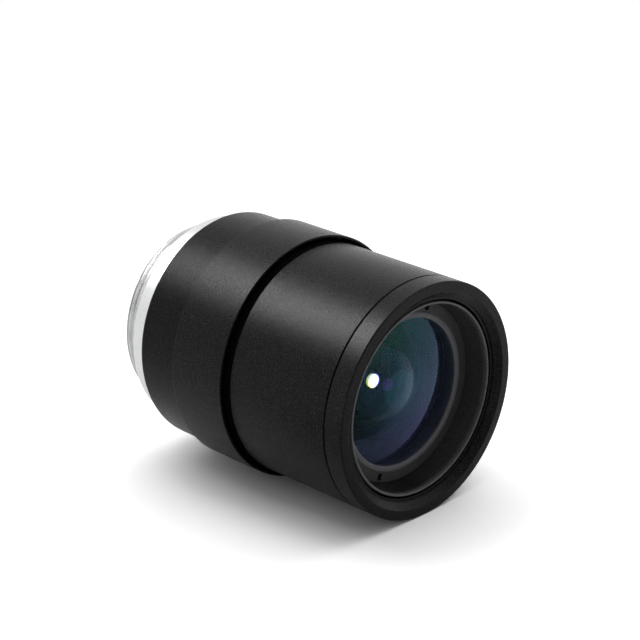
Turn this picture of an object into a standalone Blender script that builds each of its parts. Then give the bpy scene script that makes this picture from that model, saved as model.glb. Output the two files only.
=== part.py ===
"""Varifocal lens for a security camera, modelled piece by piece.

The optical axis is the world X axis and the front of the lens looks along +X.
The origin is the centre of the mount's flange seat, where the lens meets its
camera. Angles round the axis are counted from +Y towards +Z.
"""
import math

import bmesh
import bpy

MM = 0.001

# Fits and clearances
RUNNING_FIT = 0.15 * MM
SEAT_GAP = 0.05 * MM
SIDE_PLAY = 0.3 * MM

# Facets of turned pieces
OUTER_STEPS = 38
INNER_STEPS = 26
LENS_STEPS = 20
SMALL_STEPS = 16
ARC_STEPS = 3
DEEP_ARC_STEPS = 5
SMOOTH_ANGLE = math.radians(35)

# Camera mount: a 1 inch thread of 32 turns per inch and its flange
THREAD_RADIUS = 12.7 * MM
THREAD_LENGTH = 3.8 * MM
THREAD_CHAMFER = 0.5 * MM
THREAD_WALL = 1.1 * MM
FLANGE_OVERHANG = 1.73 * MM
FLANGE_THICKNESS = 3.0 * MM
FLANGE_CHAMFER = 0.2 * MM
SHELF_THICKNESS = 1.6 * MM

# Screws that hold the mount, the rear housing and the main tube together
SCREW_COUNT = 3
SCREW_HEAD_RADIUS = 1.15 * MM
SCREW_HEAD_HEIGHT = 0.8 * MM
SCREW_SHANK_RADIUS = 0.75 * MM
SCREW_HOLE_FIT = 0.1 * MM
SCREW_SLOT_WIDTH = 0.4 * MM
SCREW_SLOT_DEPTH = 0.4 * MM
SCREW_ANGLE = math.radians(30)

# Outer shells
SLEEVE_LENGTH = 8.95 * MM
SLEEVE_WALL = 0.35 * MM
SLEEVE_LIP_BEVEL = 0.18 * MM
HOUSING_STEP = 0.67 * MM
HOUSING_LENGTH = 6.85 * MM
HOUSING_WALL = 1.8 * MM
HOUSING_ROOM = 1.6 * MM
HOUSING_REAR_WALL = 1.5 * MM
HOUSING_BEVEL = 0.25 * MM
JOURNAL_STEP = 0.63 * MM
JOURNAL_LENGTH = 2.3 * MM
HUB_THICKNESS = 2.8 * MM
BARREL_GAP = 0.45 * MM
BARREL_WALL = 1.2 * MM
BARREL_BEVEL = 0.08 * MM
RING_LENGTH = 2.8 * MM
RING_GROOVE = 0.2 * MM
RING_BEVEL = 0.17 * MM

# Front face of the front ring, from the rim inwards
FACE_WIDTH = 1.13 * MM
CONE_WIDTH = 0.9 * MM
CONE_DEPTH = 0.78 * MM
LIP_WIDTH = 0.35 * MM
LIP_DEPTH = 0.22 * MM
RING_THREAD_LENGTH = 2.1 * MM
RING_THREAD_STEP = 1.5 * MM

# Fixed tube, cam tube and the zoom travel
TUBE_WALL = 1.4 * MM
TUBE_FLANGE_THICKNESS = 1.35 * MM
CAM_WALL = 1.05 * MM
CAM_END = 3.1 * MM
CLIP_THICKNESS = 0.45 * MM
CLIP_WIDTH = 1.5 * MM
CLIP_GROOVE_DEPTH = 0.3 * MM
CLIP_OPENING = math.radians(40)
ZOOM_ANGLE = math.radians(80)
ZOOM_TRAVEL = 6.0 * MM
PIN_COUNT = 3
PIN_RADIUS = 0.8 * MM
PIN_SINK = 0.9 * MM
PIN_PLACE = 8.8 * MM
PIN_ANGLE = math.radians(90)

# Rear lens group
CELL_FIT = 0.35 * MM
REAR_CELL_WALL = 1.85 * MM
REAR_CELL_START = 1.2 * MM
REAR_LIP_THICKNESS = 1.2 * MM
REAR_LIP_WIDTH = 1.2 * MM
LENS_FIT = 0.1 * MM
SPACER_WIDTH = 1.2 * MM
STOP_RADIUS = 2.6 * MM
STOP_THICKNESS = 0.2 * MM
REAR_RETAINER_THICKNESS = 1.0 * MM
REAR_RETAINER_WIDTH = 1.7 * MM

# Rims and faces of the rear elements; the third and the second are cemented
REAR_LENS_4_RIM = 1.5 * MM
REAR_LENS_4_REAR_RISE = 0.45 * MM
REAR_LENS_4_FRONT_RISE = 1.0 * MM
REAR_AIR_2 = 0.4 * MM
REAR_LENS_3_RIM = 1.9 * MM
CEMENTED_RISE = 1.2 * MM
REAR_LENS_2_RIM = 1.0 * MM
REAR_LENS_2_FRONT_RISE = 1.0 * MM
REAR_AIR_1 = 0.2 * MM
REAR_LENS_1_RIM = 1.0 * MM
REAR_LENS_1_REAR_RISE = 0.5 * MM
REAR_LENS_1_FRONT_RISE = 0.8 * MM
STOP_AIR = 0.15 * MM

# Front lens group
FOCUS_TRAVEL = 1.5 * MM
GROUP_GAP = 0.35 * MM
NUT_WALL = 1.75 * MM
NUT_LENGTH = 4.6 * MM
NUT_WEB = 2.8 * MM
NUT_ROOM = 0.2 * MM
CELL_RIM_GAP = 0.3 * MM
CELL_RIM_WALL = 0.3 * MM
CELL_RIM_BEVEL = 0.08 * MM
CELL_FLANGE_THICKNESS = 1.2 * MM
CELL_FLANGE_WIDTH = 0.7 * MM
CELL_WALL = 1.2 * MM
CELL_SPIGOT_WALL = 1.15 * MM
CELL_LIP_THICKNESS = 0.8 * MM
CELL_LIP_WIDTH = 1.2 * MM
RECESS_DEPTH = 3.2 * MM
RECESS_TAPER = 0.45 * MM
RETAINER_FACE_WIDTH = 1.3 * MM
RETAINER_LIP_WIDTH = 0.85 * MM
RETAINER_LIP_RISE = 0.12 * MM
RETAINER_THICKNESS = 1.8 * MM
RETAINER_LIP_THICKNESS = 0.3 * MM
NOTCH_WIDTH = 0.75 * MM
NOTCH_LENGTH = 0.9 * MM
NOTCH_DEPTH = 0.6 * MM
NOTCH_INSET = 0.25 * MM
NOTCH_ANGLE = math.radians(68)
KEY_RADIUS = 0.7 * MM
KEY_SINK = 0.6 * MM
KEY_PLACE = 2.6 * MM
KEY_ANGLE = math.radians(30)

# Front elements: a deep meniscus in front, then two small ones in the spigot
FRONT_LENS_RISE = 1.4 * MM
FRONT_LENS_EDGE = 6.02 * MM
FRONT_LENS_CENTRE = 1.0 * MM
FRONT_LENS_LAND = 0.45 * MM
FRONT_LENS_3_RIM = 1.5 * MM
FRONT_LENS_3_REAR_RISE = -0.9 * MM
FRONT_LENS_3_FRONT_RISE = 1.4 * MM
FRONT_AIR = 0.25 * MM
FRONT_LENS_2_RIM = 2.1 * MM
FRONT_LENS_2_REAR_RISE = -0.7 * MM
FRONT_LENS_2_FRONT_RISE = -0.5 * MM
INNER_RETAINER_THICKNESS = 0.75 * MM

# Thumb screws that lock the zoom ring and the focus barrel
LOCK_SHANK_RADIUS = 1.0 * MM
LOCK_HEAD_RADIUS = 1.9 * MM
LOCK_HEAD_LENGTH = 4.2 * MM
LOCK_NECK_RADIUS = 1.35 * MM
LOCK_NECK_LENGTH = 0.7 * MM
LOCK_FLUTES = 12
LOCK_FLUTE_DEPTH = 0.18 * MM
LOCK_BEVEL = 0.3 * MM
ZOOM_LOCK_ANGLE = math.radians(-5)
FOCUS_LOCK_ANGLE = math.radians(-40)

# Radii that follow from the thread inwards, then outwards through the shells
THREAD_BORE = THREAD_RADIUS - THREAD_WALL
FLANGE_RADIUS = THREAD_RADIUS + FLANGE_OVERHANG
SCREW_CIRCLE = THREAD_BORE - SCREW_HEAD_RADIUS - SEAT_GAP
SHELF_BORE = SCREW_CIRCLE - SCREW_HEAD_RADIUS - SEAT_GAP
REAR_CELL_RADIUS = SHELF_BORE - CELL_FIT
REAR_LENS_RADIUS = REAR_CELL_RADIUS - REAR_CELL_WALL - LENS_FIT
TUBE_BORE = REAR_CELL_RADIUS + RUNNING_FIT
TUBE_RADIUS = TUBE_BORE + TUBE_WALL
CAM_BORE = TUBE_RADIUS + RUNNING_FIT
CAM_RADIUS = CAM_BORE + CAM_WALL
HUB_BORE = CAM_RADIUS + RUNNING_FIT
HOUSING_BORE = CAM_RADIUS + HOUSING_ROOM
TUBE_FLANGE_RADIUS = HOUSING_BORE - SIDE_PLAY
JOURNAL_RADIUS = HOUSING_BORE + HOUSING_WALL
HOUSING_RADIUS = JOURNAL_RADIUS + JOURNAL_STEP
SLEEVE_RADIUS = HOUSING_RADIUS + HOUSING_STEP
SLEEVE_BORE = SLEEVE_RADIUS - SLEEVE_WALL
BARREL_RADIUS = SLEEVE_BORE - BARREL_GAP
BARREL_BORE = BARREL_RADIUS - BARREL_WALL
NUT_BORE = TUBE_RADIUS + RUNNING_FIT
NUT_RADIUS = NUT_BORE + NUT_WALL
FACE_RADIUS = BARREL_RADIUS - RING_BEVEL - FACE_WIDTH
CONE_RADIUS = FACE_RADIUS - CONE_WIDTH
RING_BORE = CONE_RADIUS - LIP_WIDTH
RING_THREAD_RADIUS = BARREL_RADIUS - RING_THREAD_STEP
CELL_RIM_RADIUS = RING_BORE - CELL_RIM_GAP
CELL_FLANGE_RADIUS = CELL_RIM_RADIUS + CELL_FLANGE_WIDTH
RECESS_MOUTH = CELL_RIM_RADIUS - CELL_RIM_WALL
RECESS_FLOOR = RECESS_MOUTH - RECESS_TAPER
RETAINER_RADIUS = RECESS_FLOOR - SEAT_GAP
RETAINER_LIP_RADIUS = RETAINER_RADIUS - RETAINER_FACE_WIDTH
RETAINER_EYE = RETAINER_LIP_RADIUS - RETAINER_LIP_WIDTH
FRONT_LENS_SEAT = RECESS_FLOOR - CELL_WALL
FRONT_LENS_RADIUS = FRONT_LENS_SEAT - LENS_FIT
CELL_BODY_RADIUS = FRONT_LENS_SEAT + CELL_WALL
SPIGOT_RADIUS = TUBE_BORE - RUNNING_FIT
SPIGOT_BORE = SPIGOT_RADIUS - CELL_SPIGOT_WALL
INNER_LENS_RADIUS = SPIGOT_BORE - LENS_FIT

# Rear elements from the rear lip forwards: rim, rear rise and front rise
REAR_SPACER_2 = REAR_LENS_4_FRONT_RISE + REAR_AIR_2
REAR_SPACER_1 = REAR_LENS_2_FRONT_RISE + REAR_AIR_1 + REAR_LENS_1_REAR_RISE
REAR_STACK = (
    ("rear_lens_4", REAR_LENS_4_RIM, REAR_LENS_4_REAR_RISE, REAR_LENS_4_FRONT_RISE),
    ("rear_spacer_2", REAR_SPACER_2, None, None),
    ("rear_lens_3", REAR_LENS_3_RIM, 0.0, -CEMENTED_RISE),
    ("rear_lens_2", REAR_LENS_2_RIM, CEMENTED_RISE, REAR_LENS_2_FRONT_RISE),
    ("rear_spacer_1", REAR_SPACER_1, None, None),
    ("rear_lens_1", REAR_LENS_1_RIM, REAR_LENS_1_REAR_RISE, REAR_LENS_1_FRONT_RISE),
)
REAR_STACK_START = REAR_CELL_START + REAR_LIP_THICKNESS + SEAT_GAP
STOP_REAR = REAR_STACK_START + sum(piece[1] + SEAT_GAP for piece in REAR_STACK)
STOP_FRONT = STOP_REAR + REAR_LENS_1_FRONT_RISE + STOP_AIR + STOP_THICKNESS
REAR_CELL_FRONT = STOP_FRONT + SEAT_GAP + REAR_RETAINER_THICKNESS

# Small front elements from the spigot's lip forwards
FRONT_SPACER = FRONT_LENS_3_FRONT_RISE + FRONT_AIR
FRONT_STACK = (
    ("front_lens_3", FRONT_LENS_3_RIM, FRONT_LENS_3_REAR_RISE, FRONT_LENS_3_FRONT_RISE),
    ("front_spacer", FRONT_SPACER, None, None),
    ("front_lens_2", FRONT_LENS_2_RIM, FRONT_LENS_2_REAR_RISE, FRONT_LENS_2_FRONT_RISE),
    ("inner_retainer", INNER_RETAINER_THICKNESS, None, None),
)
CELL_REAR = REAR_CELL_FRONT + ZOOM_TRAVEL + FOCUS_TRAVEL + GROUP_GAP
FRONT_STACK_START = CELL_REAR + CELL_LIP_THICKNESS + SEAT_GAP
CELL_SEAT = FRONT_STACK_START + sum(piece[1] + SEAT_GAP for piece in FRONT_STACK)

# Places along the axis, from the flange seat to the front
SHELF_SEAT = FLANGE_THICKNESS - SHELF_THICKNESS
HOUSING_REAR = FLANGE_THICKNESS + SEAT_GAP
HOUSING_FRONT = HOUSING_REAR + HOUSING_LENGTH
TUBE_REAR = HOUSING_REAR + HOUSING_REAR_WALL + SEAT_GAP
SLEEVE_REAR = HOUSING_FRONT + SEAT_GAP
SLEEVE_FRONT = SLEEVE_REAR + SLEEVE_LENGTH
JOURNAL_FRONT = HOUSING_FRONT + JOURNAL_LENGTH
HUB_REAR = JOURNAL_FRONT + SIDE_PLAY
HUB_FRONT = HUB_REAR + HUB_THICKNESS
ZOOM_LOCK_PLACE = (HUB_REAR + HUB_FRONT) / 2
PIN_X = REAR_CELL_START + PIN_PLACE
SLOT_END = PIN_X + ZOOM_TRAVEL
CAM_REAR = TUBE_REAR + TUBE_FLANGE_THICKNESS + SIDE_PLAY
CAM_FRONT = SLOT_END + PIN_RADIUS + RUNNING_FIT + CAM_END
CLIP_REAR = CAM_FRONT + SIDE_PLAY / 2
CLIP_FRONT = CLIP_REAR + CLIP_THICKNESS
NUT_REAR = CLIP_FRONT + FOCUS_TRAVEL + NUT_ROOM
NUT_FRONT = NUT_REAR + NUT_LENGTH
WEB_REAR = NUT_REAR + (NUT_LENGTH - NUT_WEB) / 2
WEB_FRONT = WEB_REAR + NUT_WEB
FOCUS_LOCK_PLACE = (WEB_REAR + WEB_FRONT) / 2
CELL_SHOULDER_REAR = NUT_FRONT + SIDE_PLAY
TUBE_FRONT = CELL_SHOULDER_REAR - FOCUS_TRAVEL - SIDE_PLAY
KEY_X = CELL_REAR + KEY_PLACE
FRONT_LENS_REAR = CELL_SEAT + SEAT_GAP
FRONT_LENS_RIM = FRONT_LENS_REAR + FRONT_LENS_EDGE
FRONT_LENS_VERTEX = FRONT_LENS_RIM + FRONT_LENS_RISE
FRONT_LENS_CURVE = (FRONT_LENS_RADIUS ** 2 + FRONT_LENS_RISE ** 2) / (2 * FRONT_LENS_RISE)
FRONT_LENS_FALL = FRONT_LENS_CURVE - math.sqrt(FRONT_LENS_CURVE ** 2 - RETAINER_EYE ** 2)
RETAINER_UNDERSIDE = FRONT_LENS_VERTEX - FRONT_LENS_FALL + SEAT_GAP
RETAINER_PLACE = RETAINER_UNDERSIDE + RETAINER_LIP_THICKNESS
RETAINER_REAR = RETAINER_PLACE - RETAINER_THICKNESS
CELL_FRONT = RETAINER_PLACE + RECESS_DEPTH
LIP_PLACE = CELL_FRONT
RING_FRONT = LIP_PLACE + LIP_DEPTH + CONE_DEPTH
RING_REAR = RING_FRONT - RING_LENGTH
RING_THREAD_REAR = RING_REAR - RING_THREAD_LENGTH
BARREL_FRONT = RING_REAR - RING_GROOVE
BARREL_REAR = HUB_FRONT + FOCUS_TRAVEL + SIDE_PLAY
CELL_FLANGE_FRONT = RING_THREAD_REAR - SEAT_GAP
CELL_FLANGE_REAR = CELL_FLANGE_FRONT - CELL_FLANGE_THICKNESS

# Colours: base colour, roughness, metallic, alpha
BLACK = ((0.022, 0.022, 0.024), 0.5, 0.6, 1.0)
DULL_BLACK = ((0.008, 0.008, 0.008), 0.85, 0.0, 1.0)
SILVER = ((0.82, 0.82, 0.83), 0.28, 1.0, 1.0)
STEEL = ((0.55, 0.55, 0.56), 0.3, 1.0, 1.0)
BRASS = ((0.72, 0.55, 0.26), 0.35, 1.0, 1.0)
GLASS = ((0.75, 0.9, 0.92), 0.02, 0.0, 0.35)


def make_collections():
    """Return the collections for the lens pieces and for the cutters."""
    found = []
    for name in ("varifocal_lens", "cutters"):
        collection = bpy.data.collections.new(name)
        bpy.context.scene.collection.children.link(collection)
        found.append(collection)
    return found


def make_material(name, finish):
    """Return a Principled material from a colour, roughness, metallic and alpha."""
    colour, roughness, metallic, alpha = finish
    material = bpy.data.materials.new(name)
    material.use_nodes = True
    shader = material.node_tree.nodes["Principled BSDF"]
    shader.inputs["Base Color"].default_value = (*colour, 1.0)
    shader.inputs["Roughness"].default_value = roughness
    shader.inputs["Metallic"].default_value = metallic
    shader.inputs["Alpha"].default_value = alpha
    material.diffuse_color = (*colour, alpha)
    return material


def shade(mesh):
    """Shade a mesh smooth and keep its machined edges sharp."""
    mesh.shade_smooth()
    mesh.set_sharp_from_angle(angle=SMOOTH_ANGLE)


def settle(obj):
    """Turn the object's modifiers into its own mesh."""
    graph = bpy.context.evaluated_depsgraph_get()
    mesh = bpy.data.meshes.new_from_object(obj.evaluated_get(graph))
    mesh.name = obj.name
    obj.modifiers.clear()
    obj.data = mesh
    shade(mesh)


def turn(name, profile, steps, closed):
    """Sweep an (x, radius) profile once round the local Z axis."""
    mesh = bpy.data.meshes.new(name)
    points = [(radius, 0.0, place) for place, radius in profile]
    edges = [(i, i + 1) for i in range(len(points) - 1)]
    if closed:
        edges.append((len(points) - 1, 0))
    mesh.from_pydata(points, edges, [])
    obj = bpy.data.objects.new(name, mesh)
    LENS.objects.link(obj)
    screw = obj.modifiers.new("Turn", "SCREW")
    screw.axis = "Z"
    screw.steps = steps
    screw.render_steps = steps
    screw.use_merge_vertices = True
    screw.merge_threshold = 0.000001
    settle(obj)
    return obj


def finish(obj, parent, look):
    """Give a piece its material and hang it on the empty that moves it."""
    obj.data.materials.append(make_material(obj.name, look))
    obj.parent = parent
    return obj


def ring(name, profile, parent, look, steps=OUTER_STEPS, closed=True):
    """Turn a piece round the optical axis, from front to rear down its outside."""
    obj = turn(name, profile, steps, closed)
    obj.rotation_euler = (0.0, math.pi / 2, 0.0)
    return finish(obj, parent, look)


def stud(name, profile, place, angle, parent, look, steps=SMALL_STEPS):
    """Turn a piece round a radial line that leaves the axis at an angle."""
    obj = turn(name, profile, steps, closed=False)
    obj.location = (place, 0.0, 0.0)
    obj.rotation_euler = (angle - math.pi / 2, 0.0, 0.0)
    return finish(obj, parent, look)


def hide_cutter(obj):
    """Move an object into the cutters and keep it out of the render."""
    LENS.objects.unlink(obj)
    CUTTERS.objects.link(obj)
    obj.hide_render = True
    obj.display_type = "WIRE"
    return obj


def radial_cutter(name, radius, low, high, place, angle):
    """Return a round cutter along a radial line, from one height to another."""
    profile = [(high, 0.0), (high, radius), (low, radius), (low, 0.0)]
    obj = turn(name, profile, SMALL_STEPS, closed=False)
    obj.location = (place, 0.0, 0.0)
    obj.rotation_euler = (angle - math.pi / 2, 0.0, 0.0)
    return hide_cutter(obj)


def axial_cutter(name, radius, rear, front, circle, angle):
    """Return a round cutter parallel to the optical axis, on a bolt circle."""
    profile = [(front, 0.0), (front, radius), (rear, radius), (rear, 0.0)]
    obj = turn(name, profile, SMALL_STEPS, closed=False)
    obj.location = (0.0, circle * math.cos(angle), circle * math.sin(angle))
    obj.rotation_euler = (0.0, math.pi / 2, 0.0)
    return hide_cutter(obj)


def box_cutter(name, size, place, angle=0.0):
    """Return a box cutter, turned about the optical axis."""
    mesh = bpy.data.meshes.new(name)
    shape = bmesh.new()
    bmesh.ops.create_cube(shape, size=1.0)
    bmesh.ops.scale(shape, vec=size, verts=shape.verts)
    shape.to_mesh(mesh)
    shape.free()
    obj = bpy.data.objects.new(name, mesh)
    LENS.objects.link(obj)
    obj.location = place
    obj.rotation_euler = (angle, 0.0, 0.0)
    return hide_cutter(obj)


def slot_sections(start, end, half_width, middle):
    """Return (x, angle, x step, angle step) sections of a slot with round ends.

    The slot runs from one (x, angle) to another on a cylinder of radius middle.
    Each section is the slot's centre and half its width across the run.
    """
    run_x = end[0] - start[0]
    run_u = (end[1] - start[1]) * middle
    length = math.hypot(run_x, run_u)
    along_x, along_u = run_x / length, run_u / length
    spots = []
    for step in range(1, ARC_STEPS + 1):
        lean = math.pi / 2 * step / ARC_STEPS
        spots.append((-half_width * math.cos(lean), half_width * math.sin(lean)))
    bends = max(1, round(abs(end[1] - start[1]) / math.radians(8)))
    for step in range(1, bends):
        spots.append((length * step / bends, half_width))
    spots += [(length - offset, width) for offset, width in reversed(spots[:ARC_STEPS])]
    sections = []
    for offset, width in spots:
        centre_x = start[0] + along_x * offset
        centre_u = start[1] * middle + along_u * offset
        sections.append((centre_x, centre_u / middle, -along_u * width, along_x * width / middle))
    return sections


def slot_cutter(name, start, end, half_width, low, high):
    """Return a cutter for a slot that wraps round the axis as it runs along it."""
    points, faces = [], []
    sections = slot_sections(start, end, half_width, (low + high) / 2)
    for place, angle, step_x, step_angle in sections:
        for side, radius in ((1, low), (1, high), (-1, high), (-1, low)):
            lean = angle + side * step_angle
            x = place + side * step_x
            points.append((x, radius * math.cos(lean), radius * math.sin(lean)))
    for near in range(0, len(points) - 4, 4):
        for corner in range(4):
            after = (corner + 1) % 4
            faces.append((near + corner, near + after, near + 4 + after, near + 4 + corner))
    faces.append((3, 2, 1, 0))
    last = len(points) - 4
    faces.append((last, last + 1, last + 2, last + 3))
    mesh = bpy.data.meshes.new(name)
    mesh.from_pydata(points, [], faces)
    shape = bmesh.new()
    shape.from_mesh(mesh)
    bmesh.ops.recalc_face_normals(shape, faces=shape.faces)
    shape.to_mesh(mesh)
    shape.free()
    obj = bpy.data.objects.new(name, mesh)
    LENS.objects.link(obj)
    return hide_cutter(obj)


def cut(obj, *cutters):
    """Subtract each cutter from a piece and shade what is left."""
    for cutter in cutters:
        boolean = obj.modifiers.new(cutter.name, "BOOLEAN")
        boolean.operation = "DIFFERENCE"
        boolean.solver = "EXACT"
        boolean.object = cutter
    bpy.context.view_layer.update()
    settle(obj)


def around(count, first):
    """Return evenly spaced angles, starting with the first."""
    return [first + 2 * math.pi * i / count for i in range(count)]


def bulge(rise, reach, steps):
    """Return (height, radius) points of a lens face from its vertex to its rim.

    Heights are counted outwards from the rim. The rise is the vertex's height:
    positive for a convex face, negative for a hollow one and zero for a flat one.
    """
    if not rise:
        return [(0.0, 0.0)]
    curve = (reach * reach + rise * rise) / (2 * abs(rise))
    points = []
    for step in range(steps + 1):
        radius = reach * step / steps
        height = abs(rise) - curve + math.sqrt(curve * curve - radius * radius)
        points.append((math.copysign(height, rise), radius))
    return points


def element(name, places, rises, reaches, radius, parent, steps=LENS_STEPS, arc=ARC_STEPS):
    """Turn a lens from its rear and front rim places and its two faces' rises."""
    rear, front = places
    back = [(rear - height, spot) for height, spot in bulge(rises[0], reaches[0], arc)]
    if reaches[0] < radius or not rises[0]:
        back.append((rear, radius))
    profile = [(front + height, spot) for height, spot in bulge(rises[1], reaches[1], arc)]
    if reaches[1] < radius or not rises[1]:
        profile.append((front, radius))
    return ring(name, profile + back[::-1], parent, GLASS, steps, closed=False)


def spacer(name, rear, front, radius, eye, parent, steps=INNER_STEPS):
    """Turn a plain blackened ring that holds two elements apart."""
    profile = [(front, radius), (rear, radius), (rear, eye), (front, eye)]
    return ring(name, profile, parent, DULL_BLACK, steps)


def make_axes():
    """Return the empties that carry the fixed, zooming and focusing pieces."""
    axes = {}
    for name, parent in (("fixed_axis", None), ("zoom_turn_axis", "fixed_axis"),
                         ("zoom_travel_axis", "fixed_axis"),
                         ("focus_travel_axis", "fixed_axis"),
                         ("focus_turn_axis", "focus_travel_axis")):
        empty = bpy.data.objects.new(name, None)
        empty.empty_display_size = SLEEVE_RADIUS
        empty.parent = axes.get(parent)
        LENS.objects.link(empty)
        axes[name] = empty
    return axes


def make_mount(parent):
    """Silver mount: the thread, the flange and a shelf for the screws inside."""
    profile = [
        (FLANGE_THICKNESS, FLANGE_RADIUS - FLANGE_CHAMFER),
        (FLANGE_THICKNESS - FLANGE_CHAMFER, FLANGE_RADIUS),
        (FLANGE_CHAMFER, FLANGE_RADIUS),
        (0.0, FLANGE_RADIUS - FLANGE_CHAMFER),
        (0.0, THREAD_RADIUS),
        (-THREAD_LENGTH + THREAD_CHAMFER, THREAD_RADIUS),
        (-THREAD_LENGTH, THREAD_RADIUS - THREAD_CHAMFER),
        (-THREAD_LENGTH, THREAD_BORE),
        (SHELF_SEAT, THREAD_BORE),
        (SHELF_SEAT, SHELF_BORE),
        (FLANGE_THICKNESS, SHELF_BORE),
    ]
    mount = ring("mount_ring", profile, parent, SILVER)
    reach = (SHELF_SEAT - SIDE_PLAY, FLANGE_THICKNESS + SIDE_PLAY)
    cut(mount, *screw_holes("mount_hole", *reach))


def screw_holes(name, rear, front):
    """Return a cutter for each of the screws' holes between two places."""
    radius = SCREW_SHANK_RADIUS + SCREW_HOLE_FIT
    return [axial_cutter(f"{name}_{i + 1}", radius, rear, front, SCREW_CIRCLE, angle)
            for i, angle in enumerate(around(SCREW_COUNT, SCREW_ANGLE))]


def make_housing(parent):
    """Black rear housing: a cup whose front end carries the zoom ring."""
    profile = [
        (JOURNAL_FRONT, JOURNAL_RADIUS),
        (HOUSING_FRONT, JOURNAL_RADIUS),
        (HOUSING_FRONT, HOUSING_RADIUS),
        (HOUSING_REAR + HOUSING_BEVEL, HOUSING_RADIUS),
        (HOUSING_REAR, HOUSING_RADIUS - HOUSING_BEVEL),
        (HOUSING_REAR, SHELF_BORE),
        (HOUSING_REAR + HOUSING_REAR_WALL, SHELF_BORE),
        (HOUSING_REAR + HOUSING_REAR_WALL, HOUSING_BORE),
        (JOURNAL_FRONT, HOUSING_BORE),
    ]
    housing = ring("rear_housing", profile, parent, BLACK)
    reach = (HOUSING_REAR - SIDE_PLAY, HOUSING_REAR + HOUSING_REAR_WALL + SIDE_PLAY)
    cut(housing, *screw_holes("housing_hole", *reach))


def make_screws(parent):
    """Slotted screws, put in from the camera side of the mount."""
    head_front = SHELF_SEAT - SEAT_GAP
    head_rear = head_front - SCREW_HEAD_HEIGHT
    tip = TUBE_REAR + TUBE_FLANGE_THICKNESS - SIDE_PLAY
    profile = [
        (tip, 0.0),
        (tip, SCREW_SHANK_RADIUS),
        (head_front, SCREW_SHANK_RADIUS),
        (head_front, SCREW_HEAD_RADIUS),
        (head_rear, SCREW_HEAD_RADIUS),
        (head_rear, 0.0),
    ]
    for i, angle in enumerate(around(SCREW_COUNT, SCREW_ANGLE)):
        centre = (0.0, SCREW_CIRCLE * math.cos(angle), SCREW_CIRCLE * math.sin(angle))
        screw = ring(f"mount_screw_{i + 1}", profile, parent, STEEL, SMALL_STEPS, closed=False)
        screw.location = centre
        size = (2 * SCREW_SLOT_DEPTH, SCREW_SLOT_WIDTH, 3 * SCREW_HEAD_RADIUS)
        cut(screw, box_cutter(f"slot_cutter_{i + 1}", size, (head_rear, *centre[1:]), angle))


def make_main_tube(parent):
    """Fixed tube: guide slots for the follower pins, a key slot and a clip groove."""
    groove = TUBE_RADIUS - CLIP_GROOVE_DEPTH
    flange_front = TUBE_REAR + TUBE_FLANGE_THICKNESS
    profile = [
        (TUBE_FRONT, TUBE_RADIUS),
        (CLIP_FRONT + SEAT_GAP, TUBE_RADIUS),
        (CLIP_FRONT + SEAT_GAP, groove),
        (CLIP_REAR - SEAT_GAP, groove),
        (CLIP_REAR - SEAT_GAP, TUBE_RADIUS),
        (flange_front, TUBE_RADIUS),
        (flange_front, TUBE_FLANGE_RADIUS),
        (TUBE_REAR, TUBE_FLANGE_RADIUS),
        (TUBE_REAR, TUBE_BORE),
        (TUBE_FRONT, TUBE_BORE),
    ]
    tube = ring("main_tube", profile, parent, BRASS, INNER_STEPS)
    low, high = TUBE_BORE - SIDE_PLAY, TUBE_RADIUS + SIDE_PLAY
    cutters = screw_holes("tube_hole", TUBE_REAR - SIDE_PLAY, flange_front + SIDE_PLAY)
    half = PIN_RADIUS + RUNNING_FIT
    for i, angle in enumerate(around(PIN_COUNT, PIN_ANGLE)):
        end = (SLOT_END, angle)
        cutters.append(slot_cutter(f"guide_slot_{i + 1}", (PIN_X, angle), end, half, low, high))
    key_start = (KEY_X - FOCUS_TRAVEL - SEAT_GAP, KEY_ANGLE)
    key_end = (TUBE_FRONT + FOCUS_TRAVEL, KEY_ANGLE)
    half = KEY_RADIUS + RUNNING_FIT
    cutters.append(slot_cutter("key_slot", key_start, key_end, half, low, high))
    cut(tube, *cutters)


def make_clip(parent):
    """Spring clip that keeps the cam tube on the main tube."""
    bore = TUBE_RADIUS - CLIP_GROOVE_DEPTH + SEAT_GAP
    radius = bore + CLIP_WIDTH
    profile = [(CLIP_FRONT, radius), (CLIP_REAR, radius), (CLIP_REAR, bore), (CLIP_FRONT, bore)]
    clip = ring("cam_clip", profile, parent, STEEL, INNER_STEPS)
    width = 2 * bore * math.sin(CLIP_OPENING / 2)
    size = (4 * CLIP_THICKNESS, 2 * CLIP_WIDTH + bore, width)
    place = (CLIP_REAR, bore + CLIP_WIDTH, 0.0)
    cut(clip, box_cutter("clip_opening", size, place))


def make_zoom_ring(parent):
    """Zoom ring: a thin sleeve in front, a hub inside and a running rim behind."""
    bore = JOURNAL_RADIUS + RUNNING_FIT
    profile = [
        (SLEEVE_FRONT, SLEEVE_RADIUS - SLEEVE_LIP_BEVEL / 2),
        (SLEEVE_FRONT - SLEEVE_LIP_BEVEL / 2, SLEEVE_RADIUS),
        (SLEEVE_REAR + SLEEVE_LIP_BEVEL, SLEEVE_RADIUS),
        (SLEEVE_REAR, SLEEVE_RADIUS - SLEEVE_LIP_BEVEL),
        (SLEEVE_REAR, bore),
        (HUB_REAR, bore),
        (HUB_REAR, HUB_BORE),
        (HUB_FRONT, HUB_BORE),
        (HUB_FRONT, SLEEVE_BORE),
        (SLEEVE_FRONT - SLEEVE_LIP_BEVEL, SLEEVE_BORE),
        (SLEEVE_FRONT, SLEEVE_BORE + SLEEVE_LIP_BEVEL / 2),
    ]
    sleeve = ring("zoom_ring", profile, parent, BLACK)
    hole = LOCK_SHANK_RADIUS + RUNNING_FIT
    reach = (HUB_BORE - SIDE_PLAY, SLEEVE_RADIUS + SIDE_PLAY)
    cut(sleeve, radial_cutter("zoom_lock_hole", hole, *reach, ZOOM_LOCK_PLACE, ZOOM_LOCK_ANGLE))


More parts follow.
